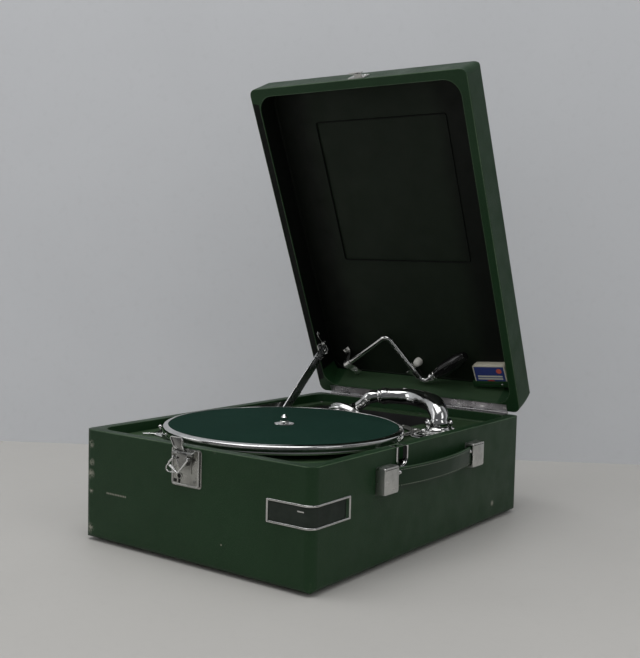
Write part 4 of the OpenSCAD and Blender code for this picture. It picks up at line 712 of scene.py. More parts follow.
def turntable_pieces():
    """Pressed dish with its rolled rim and bead, the felt, and the washer and sleeve round the spindle."""
    bore, dish_top, bead_low = 4.05, 118.4, 110.1
    rim = [(121.5 + 5.3 * math.sin(a), 117.4 + 2.2 * math.cos(a)) for a in (0.0, 0.35, 0.7, 1.0, 1.3, 1.57)]
    bead = [(125.6 + 1.3 * math.cos(a), bead_low + 1.3 + 1.3 * math.sin(a))
            for a in (0.6, 0, -0.8, -1.6, -2.4, -3.1)]
    outline = [(bore, 117), (bore, dish_top), (60, dish_top), (121.2, dish_top), (121.3, 119.3), *rim,
               (126.4, 113.6), *bead, (124.6, 116.6), (60, 117), (15, 117), (15, 112.6), (bore, 112.6)]
    dish = moved(turned(outline, 160, ring=True), SPINDLE)
    piece("platter_dish", dish, chrome, "turntable", ["platter"], crease=50)

    pile = [(10.6, 118.45), (10.7, 119.3), (11.3, 119.62)]
    pile += [(r, 119.6 + 0.035 * math.sin(r * 1.7)) for r in range(16, 120, 6)]
    pile += [(119.9, 119.58), (120.9, 119.35), (121.2, 118.7), (121.1, 118.45)]
    piece("felt_disc", moved(turned(pile, 144), SPINDLE), felt, "turntable",
          ["platter_felt"], crease=60)

    parts = [turned([(4.6, 120.02), (4.7, 120.35), (5.4, 120.5), (8.4, 120.2), (9.4, 120.35),
                     (10.4, 120.15), (10.5, 119.7), (4.6, 119.7)], 64, ring=True)]
    for k in range(3):
        a = 2 * math.pi * k / 3 + 0.5
        parts.append(placed(rivet_head(1.1, 0.7), 7.2 * math.cos(a), 7.2 * math.sin(a), 120.2))
    parts.append(turned([(3.62, 120.0), (4.5, 120.1), (4.6, 122.2), (4.2, 122.7), (3.62, 122.8)],
                        40, ring=True))
    piece("spindle_washer", moved(joined(parts), SPINDLE), chrome, "turntable")


# Tone arm and soundbox

ARM_X, ARM_Y = middle_mm("arm_turret")[:2]
ARM_FOOT = mm(ARM_X, ARM_Y, 104)
ARM_PIVOT = mm(ARM_X, ARM_Y, 114)

# The tube's middle line from its foot, and its radius there
ARM_LINE = [(0, 0, 8, 9.0), (0, 0.5, 14, 9.4), (-2, 3.5, 19.5, 10.2), (-8, 9, 24.9, 10.9),
            (-17.5, 17.5, 28.4, 11.0), (-31.5, 28, 29.2, 10.5), (-47.5, 37, 29.6, 10.1),
            (-64, 41, 29.8, 9.7), (-80, 37.5, 29.6, 9.3), (-95, 28.5, 29.2, 8.9)]
ARM_TIP = ARM_FOOT + mm(*ARM_LINE[-1][:3])

# The soundbox faces up and back where it is parked
BOX_CENTRE = mm(-26, 101, 103.5)
BOX_TURN = (Matrix.Translation(BOX_CENTRE) @ Matrix.Rotation(math.radians(-4), 4, "Z")
            @ Matrix.Rotation(math.radians(133.5), 4, "X"))


def arm_pieces():
    """Swept tube with a ball at its foot, a band and beads at its tip; the turret's caps and skirt."""
    line = smooth_path(ARM_LINE, 8)
    points = [ARM_FOOT + mm(*p[:3]) for p in line]
    tube = swept(points, ring_section(1, 40), [p[3] for p in line], upright=(0.35, -0.9, 0.1))
    radius, cut = 10.4, math.pi * 0.62
    arc = [(radius * math.sin(a), radius * math.cos(a)) for a in [i * cut / 20 for i in range(21)]]
    ball = turned(arc + [(0, radius * math.cos(cut))], 56)
    parts = [tube, moved(ball, Matrix.Translation(ARM_PIVOT))]
    tip = facing(points[-1], (points[-1] - points[-2]).normalized())
    band = turned([(8.6, -7.5), (9.7, -7.2), (9.9, -6.0), (9.9, -1.2), (9.5, -0.1), (8.0, 0.1),
                   (7.8, -2)], 48)
    parts.append(moved(band, tip))
    for back in (-9.2, -5.2, -2.0):
        bead = [(9.0, back - 0.7), (10.15, back - 0.35), (10.25, back), (10.15, back + 0.35),
                (9.0, back + 0.7)]
        parts.append(moved(turned(bead, 48), tip))
    lug = block(-2.2, -1.6, -3, 2.2, 1.6, 1.6, 0.7, 3)
    parts.append(moved(lug, facing(points[-14] + mm(0, 0, 8.6), UP, 0.6)))
    piece("arm_tube", joined(parts), chrome, "arm", ["tone_arm"], crease=50)

    heading = math.radians(140)
    cross = Vector((-math.sin(heading), math.cos(heading), 0))
    caps = []
    for s in (-1, 1):
        cap = turned([(0, 2.6), (2.4, 2.5), (3.4, 2.0), (3.6, 1.2), (5.2, 1.0), (5.8, 0.4),
                      (5.9, 0), (0, 0)], 40)
        caps.append(moved(cap, facing(ARM_PIVOT + cross * s * 13.2 * MM, cross * s)))
    piece("arm_pivot_caps", joined(caps), chrome, "turret")

    skirt = turned([(13.2, 0.2), (13.4, 1.1), (12.9, 2.0), (12.2, 2.4), (11.7, 3.6), (11.3, 3.8),
                    (11.1, 0.2)], 64, ring=True)
    piece("turret_skirt", placed(skirt, ARM_X, ARM_Y, DECK + 2.1), chrome, "turret")


def neck_pieces():
    """Gooseneck from the arm's tip to the soundbox's back, and the soundbox with all that it carries."""
    way = Vector((-0.8564, -0.5138, -0.0457))
    front = (BOX_TURN.to_3x3() @ Vector(UP)).normalized()
    hub = BOX_CENTRE - front * 13 * MM
    bend = ARM_TIP + way * 10 * MM
    marks = (ARM_TIP - way * 6 * MM, ARM_TIP + way * 3 * MM, bend + mm(-3, -1.2, -2),
             bend.lerp(hub, 0.5) + mm(0, 0.6, 1.5), hub - front * 4 * MM, hub + front * 4 * MM)
    line = smooth_path([tuple(mark) for mark in marks], 10)
    size = [4.9 + 1.9 * math.exp(-((i - 17) / 9) ** 2) + (0.9 if i > 8 else 0) for i in range(len(line))]
    neck = swept(line, ring_section(1, 32), size)
    collar = turned([(5.2, 0.3), (8.0, 0.35), (8.5, 0.9), (8.5, 2.6), (8.0, 3.6), (7.0, 4.6),
                     (6.2, 5.2)], 48)
    hub_ring = turned([(5.4, -19.5), (7.2, -19.2), (7.7, -18.4), (7.7, -14), (8.6, -12.5), (9.4, -9.5),
                       (9.6, -7)], 48)
    parts = [neck, moved(collar, facing(ARM_TIP, way)), moved(hub_ring, BOX_TURN)]
    piece("neck_tube", joined(parts), chrome, "reproducer", ["gooseneck"], crease=45)
    soundbox_case()
    soundbox_diaphragm()
    stylus_lever()


def soundbox_case():
    """Ridged back, grooved rim and front bezel in one turning, with six screws."""
    back = [(0, -7), (9, -7), (10.2, -6.4), (11, -4.8), (14.4, -3.7), (15.2, -4.6), (16.6, -5.1),
            (18, -4.5), (18.6, -3.3), (19.2, -3.2), (19.9, -4.2), (21.4, -4.7), (22.8, -3.9), (23.3, -2.7),
            (23.9, -2.6), (24.6, -3.4), (26, -3.4), (27.1, -2.4), (27.6, -1.0), (28.3, -0.5), (28.5, 0.3)]
    rim = [(28.5, 1.0), (27.7, 1.5), (27.7, 2.1), (28.5, 2.6), (28.5, 3.4), (27.7, 3.9),
           (27.7, 4.5), (28.4, 5.0)]
    bezel = [(27.9, 6.3), (26.9, 7.0), (25.9, 6.6), (25.3, 5.6), (24.6, 5.5), (24.0, 6.3), (23.3, 6.3),
             (22.7, 5.2), (22.4, 3.4), (22.3, 2.6)]
    parts = [moved(turned(back + rim + bezel, 96), BOX_TURN)]
    for k in range(6):
        a = math.pi * (k + 0.5) / 3
        seat = shift(13.6 * math.cos(a), 13.6 * math.sin(a), -4.4) @ UPSIDE_DOWN
        parts.append(moved(screw_head(1.5, 0.8, a), BOX_TURN @ seat))
    piece("soundbox_case", joined(parts), chrome, "reproducer", ["soundbox"], crease=40)


def soundbox_diaphragm():
    radii = [i * 0.433 for i in range(7, 50)]
    ridges = [(r, 2.9 + 0.28 * math.cos(2 * math.pi * (r - 3) / 2.6)) for r in radii]
    spun = turned([(0, 3.6), (1.5, 3.5), (2.4, 3.2)] + ridges + [(22.2, 2.7)], 96)
    gasket = turned([(21.9, 2.6), (22.0, 3.4), (22.4, 3.8), (23.0, 3.6), (23.1, 2.6)], 96, ring=True)
    piece("spun_diaphragm", moved(spun, BOX_TURN), foil, "reproducer", ["diaphragm"], crease=60)
    piece("diaphragm_gasket", moved(gasket, BOX_TURN), rubber, "reproducer")


def stylus_lever():
    """Bar from the diaphragm's middle to the needle's chuck, with its thumbscrew and its two pivot lugs."""
    foot = -28.5 - 4
    bar = swept([mm(0, foot, 9.4), mm(0, -24, 9.9), mm(0, -12, 9.6), mm(0, -4, 8.3), mm(0, 0.5, 6.4)],
                flat_section(1.5, 0.8), [1.0, 0.95, 0.8, 0.65, 0.6])
    parts = [bar, block(-4.2, foot - 5, 4.6, 4.2, foot + 3.4, 11.2, 0.9),
             turned([(0, 3), (2, 3), (2, 6.6), (0.9, 7.4), (0, 7.5)], 24)]
    thumb = turned([(0, 9), (2.3, 9), (2.6, 8.6), (2.6, 5.2), (2.3, 4.8), (1.1, 4.6), (1.1, 0), (0, 0)], 28)
    parts.append(aimed(thumb, (4.0, foot - 1, 8), TO_RIGHT))
    for s in (-1, 1):
        parts.append(block(s * 5.6 - 1.6, -27.5, 4.0, s * 5.6 + 1.6, -22.5, 7.8, 0.6))
        parts.append(placed(screw_head(1.4, 0.8, s), s * 5.6, -24.8, 7.7))
    piece("stylus_lever", moved(joined(parts), BOX_TURN), chrome, "reproducer",
          ["stylus_bar"], crease=35)


# Lid fittings, drawn in the shut lid

def lid_piece(name, bm, material, stands_for=(), body="lid"):
    """A piece drawn in the shut lid and turned open with it."""
    return piece(name, moved(bm, LID_TURN), material, body, stands_for)


# The winding handle lies slantwise in the lid: two bends, one way and then to the side
CRANK_TURN = math.radians(-33.5)
CRANK_WAY = Vector((math.cos(CRANK_TURN), math.sin(CRANK_TURN), 0))
CRANK_SIDE = Vector((-math.sin(CRANK_TURN), math.cos(CRANK_TURN), 0))
CRANK_A = mm(-105, 171, 130.8)
CRANK_B = CRANK_A + CRANK_WAY * 87 * MM
CRANK_C = CRANK_B + CRANK_SIDE * 76 * MM
CRANK_D = CRANK_C + CRANK_WAY * 80 * MM


def crank_pieces():
    """Bent rod with its socket end and collar, painted shade in the socket's key slot, and the turned grip
    with its ferrule.
    """
    line = rounded_path([CRANK_A, CRANK_B, CRANK_C, CRANK_C + CRANK_WAY * 24 * MM], 9, 12)
    bar = swept(line, ring_section(3.3, 24))
    start = turned([(3.0, -0.02), (3.25, 0.3), (3.42, 1.0), (3.42, 10.5), (3.3, 11)], 32)
    slot = block(-3.6, -0.75, -0.1, 3.6, 0.75, 5.5, 0.2)
    collar = turned([(3.2, 14.6), (5.0, 14.8), (5.5, 15.4), (5.5, 17.8), (5.1, 18.6), (4.3, 19.2),
                     (3.2, 19.3)], 40)
    tail = turned([(3.3, 17), (3.3, 74), (0, 74.5)], 32)
    parts = [bar, moved(start, facing(CRANK_A, CRANK_WAY)), moved(collar, facing(CRANK_C, CRANK_WAY)),
             moved(tail, facing(CRANK_C, CRANK_WAY))]
    lid_piece("crank_rod", joined(parts), chrome, ["winding_handle"], "crank")
    # A black bar across the socket's end: painted shade in its key slot
    lid_piece("crank_key_slot_shade", moved(slot, facing(CRANK_A, CRANK_WAY, 0.6)), enamel, (), "crank")

    swell = [(9.2 - 4.0 * (abs(i - 12) / 12) ** 2.6, 1.2 + i * 56.0 / 24) for i in range(25)]
    grip = turned([(3.36, 57.9), (5.0, 57.9)] + swell[::-1] + [(4.6, 0.25), (2.2, 0.0), (0, 0)], 56)
    lid_piece("crank_grip", moved(grip, facing(CRANK_D, -CRANK_WAY)), ebonite,
              ["handle_grip"], "grip")
    ring = turned([(3.4, 58.1), (5.9, 57.8), (6.3, 57.2), (6.35, 55.4), (5.9, 54.9)], 40)
    lid_piece("grip_ferrule", moved(ring, facing(CRANK_D, -CRANK_WAY)), chrome, (), "grip")


def beside_crank(point):
    """Frame on the lid's plane below a point of the crank, its X along the crank's way."""
    return Matrix.Translation((point.x, point.y, 0)) @ Matrix.Rotation(CRANK_TURN, 4, "Z")


def crank_holders():
    """Spring strap over the crank's end, spring clip with its shield at its bend, and the white buffer."""
    z = CEILING - 0.6
    arc = [(-18, z), (-14.5, z), (-12, z - 0.8), (-9.2, z - 4.2), (-7.0, z - 8.6), (-5.6, 132.5),
           (-4.9, 130.2), (-3.4, 127.6), (0, 126.4), (3.4, 127.5), (5.0, 129.6), (7.2, 131.3),
           (10.5, 132.4), (14.5, 133.6), (18.5, 135.8)]
    strap = swept([mm(0, y, h) for y, h in smooth_path(arc, 4)], flat_section(5.2, 0.55))
    parts = [strap, aimed(screw_head(2.4, 1.1, 0.5), (0, -15.8, z - 0.5), DOWN),
             aimed(screw_head(2.2, 1.0, 1.9), (0, 14.2, 132.7), (0, 0.28, -1))]
    strap = moved(joined(parts), beside_crank(CRANK_A + CRANK_WAY * 4 * MM))
    lid_piece("crank_strap", strap, strap_chrome, ["crank_bracket"])

    shield = moved(plate([(-26, 7), (-14, -3.2), (-3.6, -5.5), (-3.6, 6.5), (-12, 9)], 1.1, 1.4, 0.35),
                   shift(0, 0, CEILING) @ UPSIDE_DOWN)
    arc = [(-4.3, CEILING - 0.8), (-4.5, 138), (-4.6, 131.5), (-3.9, 128.4), (-1.6, 126.4), (1.2, 126.3),
           (3.6, 127.6), (4.9, 126.9)]
    parts = [shield, swept([mm(x, 0, h) for x, h in smooth_path(arc, 4)], flat_section(4.6, 0.45),
                           upright=TO_RIGHT)]
    for x, y in ((-22, -6.6), (-9, -5.4), (-9, 1.4)):
        parts.append(aimed(screw_head(1.7, 0.8, x), (x, y, CEILING - 1.0), DOWN))
    clip = moved(joined(parts), beside_crank(CRANK_C - CRANK_SIDE * 14 * MM))
    lid_piece("crank_spring", clip, chrome_dull, ["crank_clip"])

    at = CRANK_B + CRANK_SIDE * 51.5 * MM + CRANK_WAY * 4.5 * MM
    dome = turned([(0, 0), (1.8, 0.1), (3.4, 0.8), (4.4, 2.2), (4.9, 4.2), (5.1, 6.2), (5.2, 9.8),
                   (0, 9.85)], 40)
    placed(dome, at.x / MM, at.y / MM, 134.45)
    lid_piece("white_buffer", dome, white_rubber, ["rubber_buffer"])


# Needle tin and its holder: X along the tin, its front edge on the X axis
TIN_FRAME = shift(104.4, 181.84, 0) @ Matrix.Rotation(math.radians(-4.5), 4, "Z")
TIN_W, TIN_L = 44, 27
TIN_FACE, TIN_BACK = 133.9, 143.9
HOLDER_HALF = 24.9


def tin_pieces():
    """Tin with a rolled lid, held by a covered pocket with a slit, darkened by painted shade, and a screw.
    """
    half = TIN_W / 2
    body = plate(corners(0.4 - half, 0.4 - TIN_L, half - 0.4, -0.4), TIN_BACK - TIN_FACE - 4.6, 3, 0.2)
    placed(body, 0, 0, TIN_FACE + 4.6)
    cover = plate(corners(-half, -TIN_L, half, 0), 5.0, 3.4, 1.1, 6, 4)
    moved(cover, shift(0, 0, TIN_FACE + 5.0) @ TURNED_OVER)
    shape = moved(joined([body, cover]), TIN_FRAME)
    tin = lid_piece("printed_tin", shape, tin_print(), ["needle_tin"], "tin")
    layer = tin.data.uv_layers.new(name="face")
    flat = (LID_TURN @ TIN_FRAME).inverted()
    off_print = 3.0
    for loop in tin.data.loops:
        p = flat @ tin.data.vertices[loop.vertex_index].co / MM
        v = off_print if p.z > TIN_FACE + 1.0 else p.y / TIN_L + 1.0
        layer.data[loop.index].uv = (p.x / TIN_W + 0.5, v)

    face = plate(corners(-HOLDER_HALF, -5.9, HOLDER_HALF, 1.9), 1.3, 1.2, 0.4)
    parts = [on_front(plate(corners(-HOLDER_HALF, 132.2, HOLDER_HALF, 144.2), 1.3, 1.5, 0.4), 1.95),
             moved(face, shift(0, 0, 133.3) @ TURNED_OVER)]
    for s in (-1, 1):
        parts.append(block(s * 23.9 - 1.0, -5.9, 132.2, s * 23.9 + 1.0, 1.9, 144.2, 0.5))
    holder = moved(joined(parts), TIN_FRAME)
    lid_piece("tin_holder", holder, cloth_lid, ["tin_pocket"])
    # A dark strip in the slit: painted shade
    slit = moved(plate(corners(-15, -1.9, 11, -1.2), 0.15, 0.2), TIN_FRAME @ shift(0, 0, 131.98))
    lid_piece("holder_slit_shade", slit, enamel)
    x, y = (TIN_FRAME @ mm(15, -1.6, 0) / MM).xy
    screws("holder_screw", "lid", [(x, y, 131.95, DOWN)], 1.5, 0.7, lid=True)


def tin_print():
    """Printed tinplate: cream border, blue field, two pale stripes, a red disc and a red tab, rubbed."""
    f = Finish("tin_print")
    uv = f.tree.nodes.new("ShaderNodeUVMap")
    uv.uv_map = "face"
    u, v = f.axis("X", uv.outputs[0]), f.axis("Y", uv.outputs[0])
    across = f.math("ABSOLUTE", f.less(u, 0.5))
    inside = f.times(f.below(across, 0.455), f.times(f.above(v, 0.09), f.below(v, 0.97)))
    tone = f.mix(inside, (0.56, 0.53, 0.43), (0.028, 0.044, 0.18))
    band = f.times(f.times(f.above(v, 0.52), f.below(v, 0.72)), inside)
    parting = f.above(f.math("ABSOLUTE", f.less(v, 0.62)), 0.02)
    stripes = f.times(f.times(band, f.below(across, 0.38)), parting)
    tone = f.mix(stripes, tone, (0.50, 0.50, 0.44))
    disc, tab = (0.80, 0.30, 0.12, 1.0, (0.55, 0.10, 0.07)), (0.50, 0.80, 0.17, 2.6, (0.42, 0.03, 0.03))
    for middle_u, middle_v, radius, squash, colour in (disc, tab):
        du = f.times(f.less(u, middle_u), 1.45)
        dv = f.times(f.less(v, middle_v), squash)
        gap = f.math("SQRT", f.plus(f.times(du, du), f.times(dv, dv)))
        tone = f.mix(f.times(f.below(gap, radius), inside), tone, colour)
    worn = f.rise(f.noise(300, 5, 0.75), 0.62, 0.72)
    f.put("Base Color", f.mix(f.times(worn, 0.7), tone, (0.33, 0.32, 0.30)))
    f.put("Roughness", f.ramp(f.noise(120, 4), [(0.3, 0.25), (0.7, 0.5)]))
    f.put("Specular IOR Level", 0.5)
    return f.material


def highlit_rim_edges(rim, into, inset):
    """Labels and wires of a rim's outer and inner edge, lighter as painted highlight and wear; into is 1
    upwards, -1 downwards.
    """
    edges = []
    for label, inside, bend, depth in (("outer", inset, 8.6, 0.44), ("inner", 9.7, 20, 0.38)):
        half_w, half_d = CASE_X - inside, CASE_Y - inside
        edges.append((label, edging(-half_w, -half_d, half_w, half_d, rim + into * depth, bend, 0.45)))
    return edges


def lid_trim():
    """Edging of the bare panel, linings of the hollow with painted shade on its walls and painted light on
    its back, edges lighter as painted highlight and wear, and the keeper in the front wall.
    """
    wire = edging(-80.2, -152.2, 97.2, 25.2, CEILING - 0.05, 3, 0.8, 6, 10)
    lid_piece("panel_edging", wire, cloth_edging_and_shade)
    lid_piece("lining_piping", edging(-134.9, -193.9, 134.9, 185, CEILING + 0.05, 19, 1.1, 8, 10),
              cloth_lining)

    # A near-black strip along the front and left walls: painted shade
    wall_z = 130.6
    wall = [mm(118, -194.75, wall_z), mm(-135.75, -194.75, wall_z), mm(-135.75, 174, wall_z)]
    lid_piece("lid_wall_painted_shade", swept(rounded_path(wall, 19.8, 10), flat_section(0.15, 13.4)),
              cloth_edging_and_shade)
    strip = moved(plate([(-144.9, -188), (-136.3, -186), (-136.3, 186), (-144.9, 190)], 0.12, 1),
                  shift(0, 0, LID_RIM + 0.04) @ TURNED_OVER @ Matrix.Scale(-1, 4, TO_RIGHT))
    lid_piece("lid_rim_strip", strip, cloth_edging_and_shade)
    # A lighter sheet on the back wall: painted light
    slope = Vector((0, -10.8, 35)).normalized()
    left = Vector((-1, 0, 0))
    lean = Matrix((left, slope, left.cross(slope))).transposed().to_4x4()
    back = moved(plate(corners(-117, 1.5, 117, 29.2), 0.3, 1.5, 0.1), shift(0, 194.9, LID_RIM) @ lean)
    lid_piece("lid_back_painted_light", back, cloth_back_painted_light)
    # Lighter wires on the rim's edges: painted highlight, with some wear
    for label, edge in highlit_rim_edges(LID_RIM, 1, 0.44):
        lid_piece("lid_edge_highlight_" + label, edge, cloth_edge_highlight)

    x, z = -4.0, LID_RIM
    parts = [on_front(plate(corners(x, z + 2, x + 22, z + 17), 1.2, 2.5, 0.5), -CASE_Y),
             on_front(plate(corners(x + 10, z + 2.5, x + 19, z + 4.2), 5.3, 0.5, 0.3), -206),
             on_front(plate(corners(x + 3, z + 2.5, x + 19, z + 8), 1.5, 0.6, 0.4), -209.9)]
    for screw_x in (x + 4.4, x + 17.6):
        parts.append(aimed(screw_head(1.9, 0.9, screw_x), (screw_x, -206.1, z + 13), TO_FRONT))
    lid_piece("lid_keeper", joined(parts), clip_nickel, ["lid_catch"])


# Lid stay and hinge

STAY_UP = mm(-130.8, 188.23, 175.11)
STAY_LOW = mm(-130.8, 106.97, 102.46)


def stay_pieces():
    """Blade with its lower pin, the wire clamp along it, and the fixing in the lid."""
    way = (STAY_LOW - STAY_UP).normalized()
    length = (STAY_LOW - STAY_UP).length / MM
    across = Vector((0, -way.z, way.y))
    along = Matrix.Translation(STAY_UP) @ Matrix((way, across, Vector(TO_RIGHT))).transposed().to_4x4()
    clip = 0.68 * length
    clamp = [block(x, -7.0, -0.5, x + 0.9, 7.0, 2.6, 0.3) for x in (clip - 1.9, clip + 1.1)]
    clamp.append(block(clip - 1.2, -6.8, 1.2, clip + 1.2, 6.8, 2.2, 0.2))
    clamp.append(block(-6.6, -6.0, -0.4, -3.6, 6.0, 2.9, 1.2, 4))
    clamp.append(block(-6.2, 3.4, 0.4, 4.5, 5.7, 4.6, 0.9, 3))
    clamp.append(placed(rivet_head(3.4, 1.4), length, 0, 1.85))
    for s in (-1, 1):
        wire = [(-4, s * 6.35, 1.45), (clip, s * 6.35, 1.45), (length + 3.6, s * 5.2, 1.45)]
        clamp.append(rod(wire, 0.42, sides=10))
    piece("stay_clamp", moved(joined(clamp), along), chrome, "stay")
    outline = [(-5.75, -6.6), (clip, -6.6), (clip + 1, -6.0), (length + 5.4, -5.4), (length + 5.4, 5.4),
               (clip + 1, 6.0), (clip, 6.6), (-5.75, 6.6)]
    parts = [plate(outline, 1.9, 2.2, 0.45, 5)]
    parts.append(placed(turned([(2.2, 0), (2.2, -5), (0, -5)], 24), length, 0, 0))
    parts.append(placed(turned([(3.8, -2.6), (3.8, -0.1), (2.2, 0)], 24), length, 0, 0))
    piece("stay_blade", moved(joined(parts), along), blade_steel, "stay", ["stay_arm"])

    parts = [on_right(plate(corners(137, 115.9, 153, 135.2), 1.5, 3, 0.5), -136)]
    for y in (149.6, 140.4):
        parts.append(aimed(screw_head(1.9, 0.9, y), (-134.5, y, 131.6), TO_RIGHT))
    stud = turned([(4.4, 1.4), (4.4, 4.6), (2.0, 4.8), (2.0, 7.7), (3.3, 7.8), (3.3, 8.6), (2.3, 9.0),
                   (0, 9.1)], 32)
    parts.append(aimed(stud, (-136, 145, 121), TO_RIGHT))
    parts.append(aimed(ball_knob(1.5, 4.4, 2.5, 6.4, 0.7, 0.3, 8), (-135, 137.4, 121.9), TO_RIGHT))
    wire = smooth_path([(-131, 137.4, 121.9), (-130, 133, 120.2), (-130.5, 127, 117.6),
                        (-131.5, 121.5, 117.4), (-132, 119.4, 119.4), (-132, 120.8, 121.4),
                        (-132, 123, 121.6)], 5)
    parts.append(rod(wire, 0.55, sides=10))
    lid_piece("stay_fixing", joined(parts), chrome, ["stay_bracket"])


def hinge_screws():
    """Flat screws in both leaves, as (x, y, z, axis) in millimetres."""
    rows = [-124 + 31 * i for i in range(9)]
    screws("case_leaf_screws", "case", [(x, 200.6, RIM - 0.05, UP) for x in rows], 2.2, 0.12)
    screws("lid_leaf_screws", "lid", [(x + 2, 200.6, LID_RIM + 0.05, DOWN) for x in rows], 2.2,
           0.12, lid=True)


# Latch on the front: middle of the hook and lever, the lever's pin as (y, z), and the cover's outer face

LATCH_X = -2.5
LATCH_PIN = (-210.2, 108.4)
COVER_FACE = -206.1


def latch_cover():
    """Pressed plate with a raised border, ears for the lever's pin, screws, an eyelet, and openings with
    painted shade in them.
    """
    back = on_front(plate(corners(-21.6, 76.1, 16.7, 112.9), 0.55, 3, 0.2), -CASE_Y)
    cover = on_front(plate(corners(-21.2, 76.6, 14.4, 112.4), 0.62, 2.6, 0.3), -205.56)
    ridge = [mm(x, COVER_FACE, z) for x, z in ((-20.1, 112.2), (-20.1, 77.8), (13.3, 77.8), (13.3, 112.2))]
    ridge = swept(rounded_path(ridge, 2.4, 6), ring_section(0.85, 12), upright=(0, 1, 0))
    piece("latch_border", ridge, clip_nickel, "case")
    parts = [back, cover, block(3.5, -206.95, 89.5, 4.8, -206.0, 106.6, 0.3)]
    y, z = LATCH_PIN
    ear = [(y, z + 2.3), (y - 1.6, z + 1.6), (y - 2.3, z), (y - 1.6, z - 1.6), (y, z - 2.3),
           (-206.0, z - 4.2), (-206.0, z + 4.0)]
    for x in (-15.5, 9.5):
        parts.append(on_right(plate(ear, 1.0, 0.5, 0.25), x))
        parts.append(on_front(plate(corners(x - 1.6, z - 5.4, x + 2.6, z + 4.2), 0.5, 1, 0.2), COVER_FACE))
    seat = COVER_FACE - 0.05
    for x, z, turn in ((9.6, 102.4, 0.9), (8.4, 82.2, 2.2), (-17.2, 93.5, 0.3)):
        parts.append(aimed(screw_head(2.1, 0.9, turn), (x, seat, z), TO_FRONT))
    eyelet = turned([(2.1, 0.1), (2.3, 0.75), (2.9, 0.8), (3.1, 0.5), (3.2, 0.1)], 32, ring=True)
    parts.append(aimed(eyelet, (-10.5, COVER_FACE, 86), TO_FRONT))
    piece("latch_cover", joined(parts), nickel, "case", ["latch_plate"])
    # Dark plates in the openings and a dark line at the cover's right edge: painted shade
    hole_shades = [aimed(turned([(0, 0.12), (2.15, 0.12), (2.15, 0)], 28), (-10.5, seat, 86), TO_FRONT),
             on_front(plate(corners(-12.3, 79.0, -9.5, 84.6), 0.14, 0.7), seat),
             on_front(plate(corners(-18.2, 79.6, -14.2, 82.6), 0.14, 0.6), seat),
             rod([(15.0, -205.9, 78.5), (15.0, -205.9, 111)], 0.28, sides=8)]
    piece("latch_opening_shade", joined(hole_shades), shade, "case")


def latch_hook_piece():
    """Channel of the hook with its upturned flanges, leaning back on its pivot."""
    lean = shift(LATCH_X, -206.5, 100) @ Matrix.Rotation(math.radians(-29), 4, "Y") @ ON_FRONT
    bow = [(4.2 * math.cos(a), 4.2 * math.sin(a)) for a in [math.pi * (1 + i / 14) for i in range(15)]]
    blade = plate(bow + [(4.2, 15), (7, 19), (7, 22.4), (-4.87, 29), (-7, 29), (-7, 19), (-4.2, 15)],
                  0.9, 0, 0.25)
    upturn = [(x * MM, y * MM) for x, y in ((-0.42, -0.4), (0.42, -0.4), (0.34, 0.62), (-0.34, 0.62))]
    flanges = []
    for run in ([(-3.75, -1), (-3.75, 15.2), (-6.5, 19.2), (-6.5, 28.6)],
                [(3.75, -1), (3.75, 15.2), (6.5, 19.2), (6.5, 22.4)],
                [(-6.5, 28.4), (-4.7, 28.4), (6.6, 22.2)]):
        flanges.append(swept(rounded_path([mm(x, y, 0.95) for x, y in run], 1.0, 4), upturn))
    pin = turned([(1.5, 0.1), (1.5, -1.5), (0, -1.5)], 24)
    parts = [blade, placed(rivet_head(2.5, 0.7), 0, 0, 0.88), pin]
    for y in (7, 11.5):
        hole = turned([(1.0, 0.85), (1.1, 1.1), (1.5, 1.1), (1.6, 0.85)], 20, ring=True)
        parts.append(placed(hole, 0, y, 0))
    piece("hook_flanges", moved(joined(flanges), lean), chrome, "hook")
    piece("hook_channel", moved(joined(parts), lean), dark_nickel, "hook", ["latch_hook"])


def latch_lever_piece():
    """Tongue with pressed beads, its barrel on the pin, and the stubs that the bail hangs on."""
    y, z = LATCH_PIN
    tongue = plate([(-10.0, 109.8), (5.0, 109.8), (4.4, 103.5), (2.7, 98.6), (0.5, 95.6), (-2.5, 94.5),
                    (-5.5, 95.6), (-7.7, 98.6), (-9.4, 103.5)], 1.3, 1.5, 0.4, 6)
    parts = [on_front(tongue, y - 1.0)]
    beads = []
    for s in (-1, 1):
        marks = [(LATCH_X + s * out, y - 2.2, h) for out, h in ((6.4, 107), (5.5, 101), (3.4, 96.8))]
        beads.append(rod(smooth_path(marks, 6), 0.45, sides=10))
    piece("tongue_beads", joined(beads), chrome, "lever")
    barrel = turned([(1.3, -15.2), (2.0, -15.1), (2.25, -14.7), (2.25, -6.4), (1.9, -6.1), (1.9, -4.9),
                     (2.25, -4.6), (2.25, 9.2), (2.0, 9.5), (1.3, 9.6)], 32)
    parts.append(aimed(barrel, (0.3, y, z), TO_RIGHT))
    for x, way in ((9.6, 1), (-14.6, -1)):
        end = turned([(1.2, -1), (1.2, 1.0), (1.0, 1.2), (0, 1.3)], 20)
        parts.append(aimed(end, (x, y, z), (way, 0, 0)))
    for s in (-1, 1):
        stub = turned([(1.0, -4.0), (1.0, 1.1), (0.7, 1.35), (0, 1.4)], 20)
        parts.append(aimed(stub, (LATCH_X + s * 9.4, y - 2.9, z - 4), (s, 0, 0)))
        middle = LATCH_X + s * 7.0
        parts.append(block(middle - 0.7, y - 3.7, z - 5.0, middle + 0.7, y - 1.0, z - 3.0, 0.3))
    piece("lever_tongue", joined(parts), dark_nickel, "lever", ["latch_lever"])


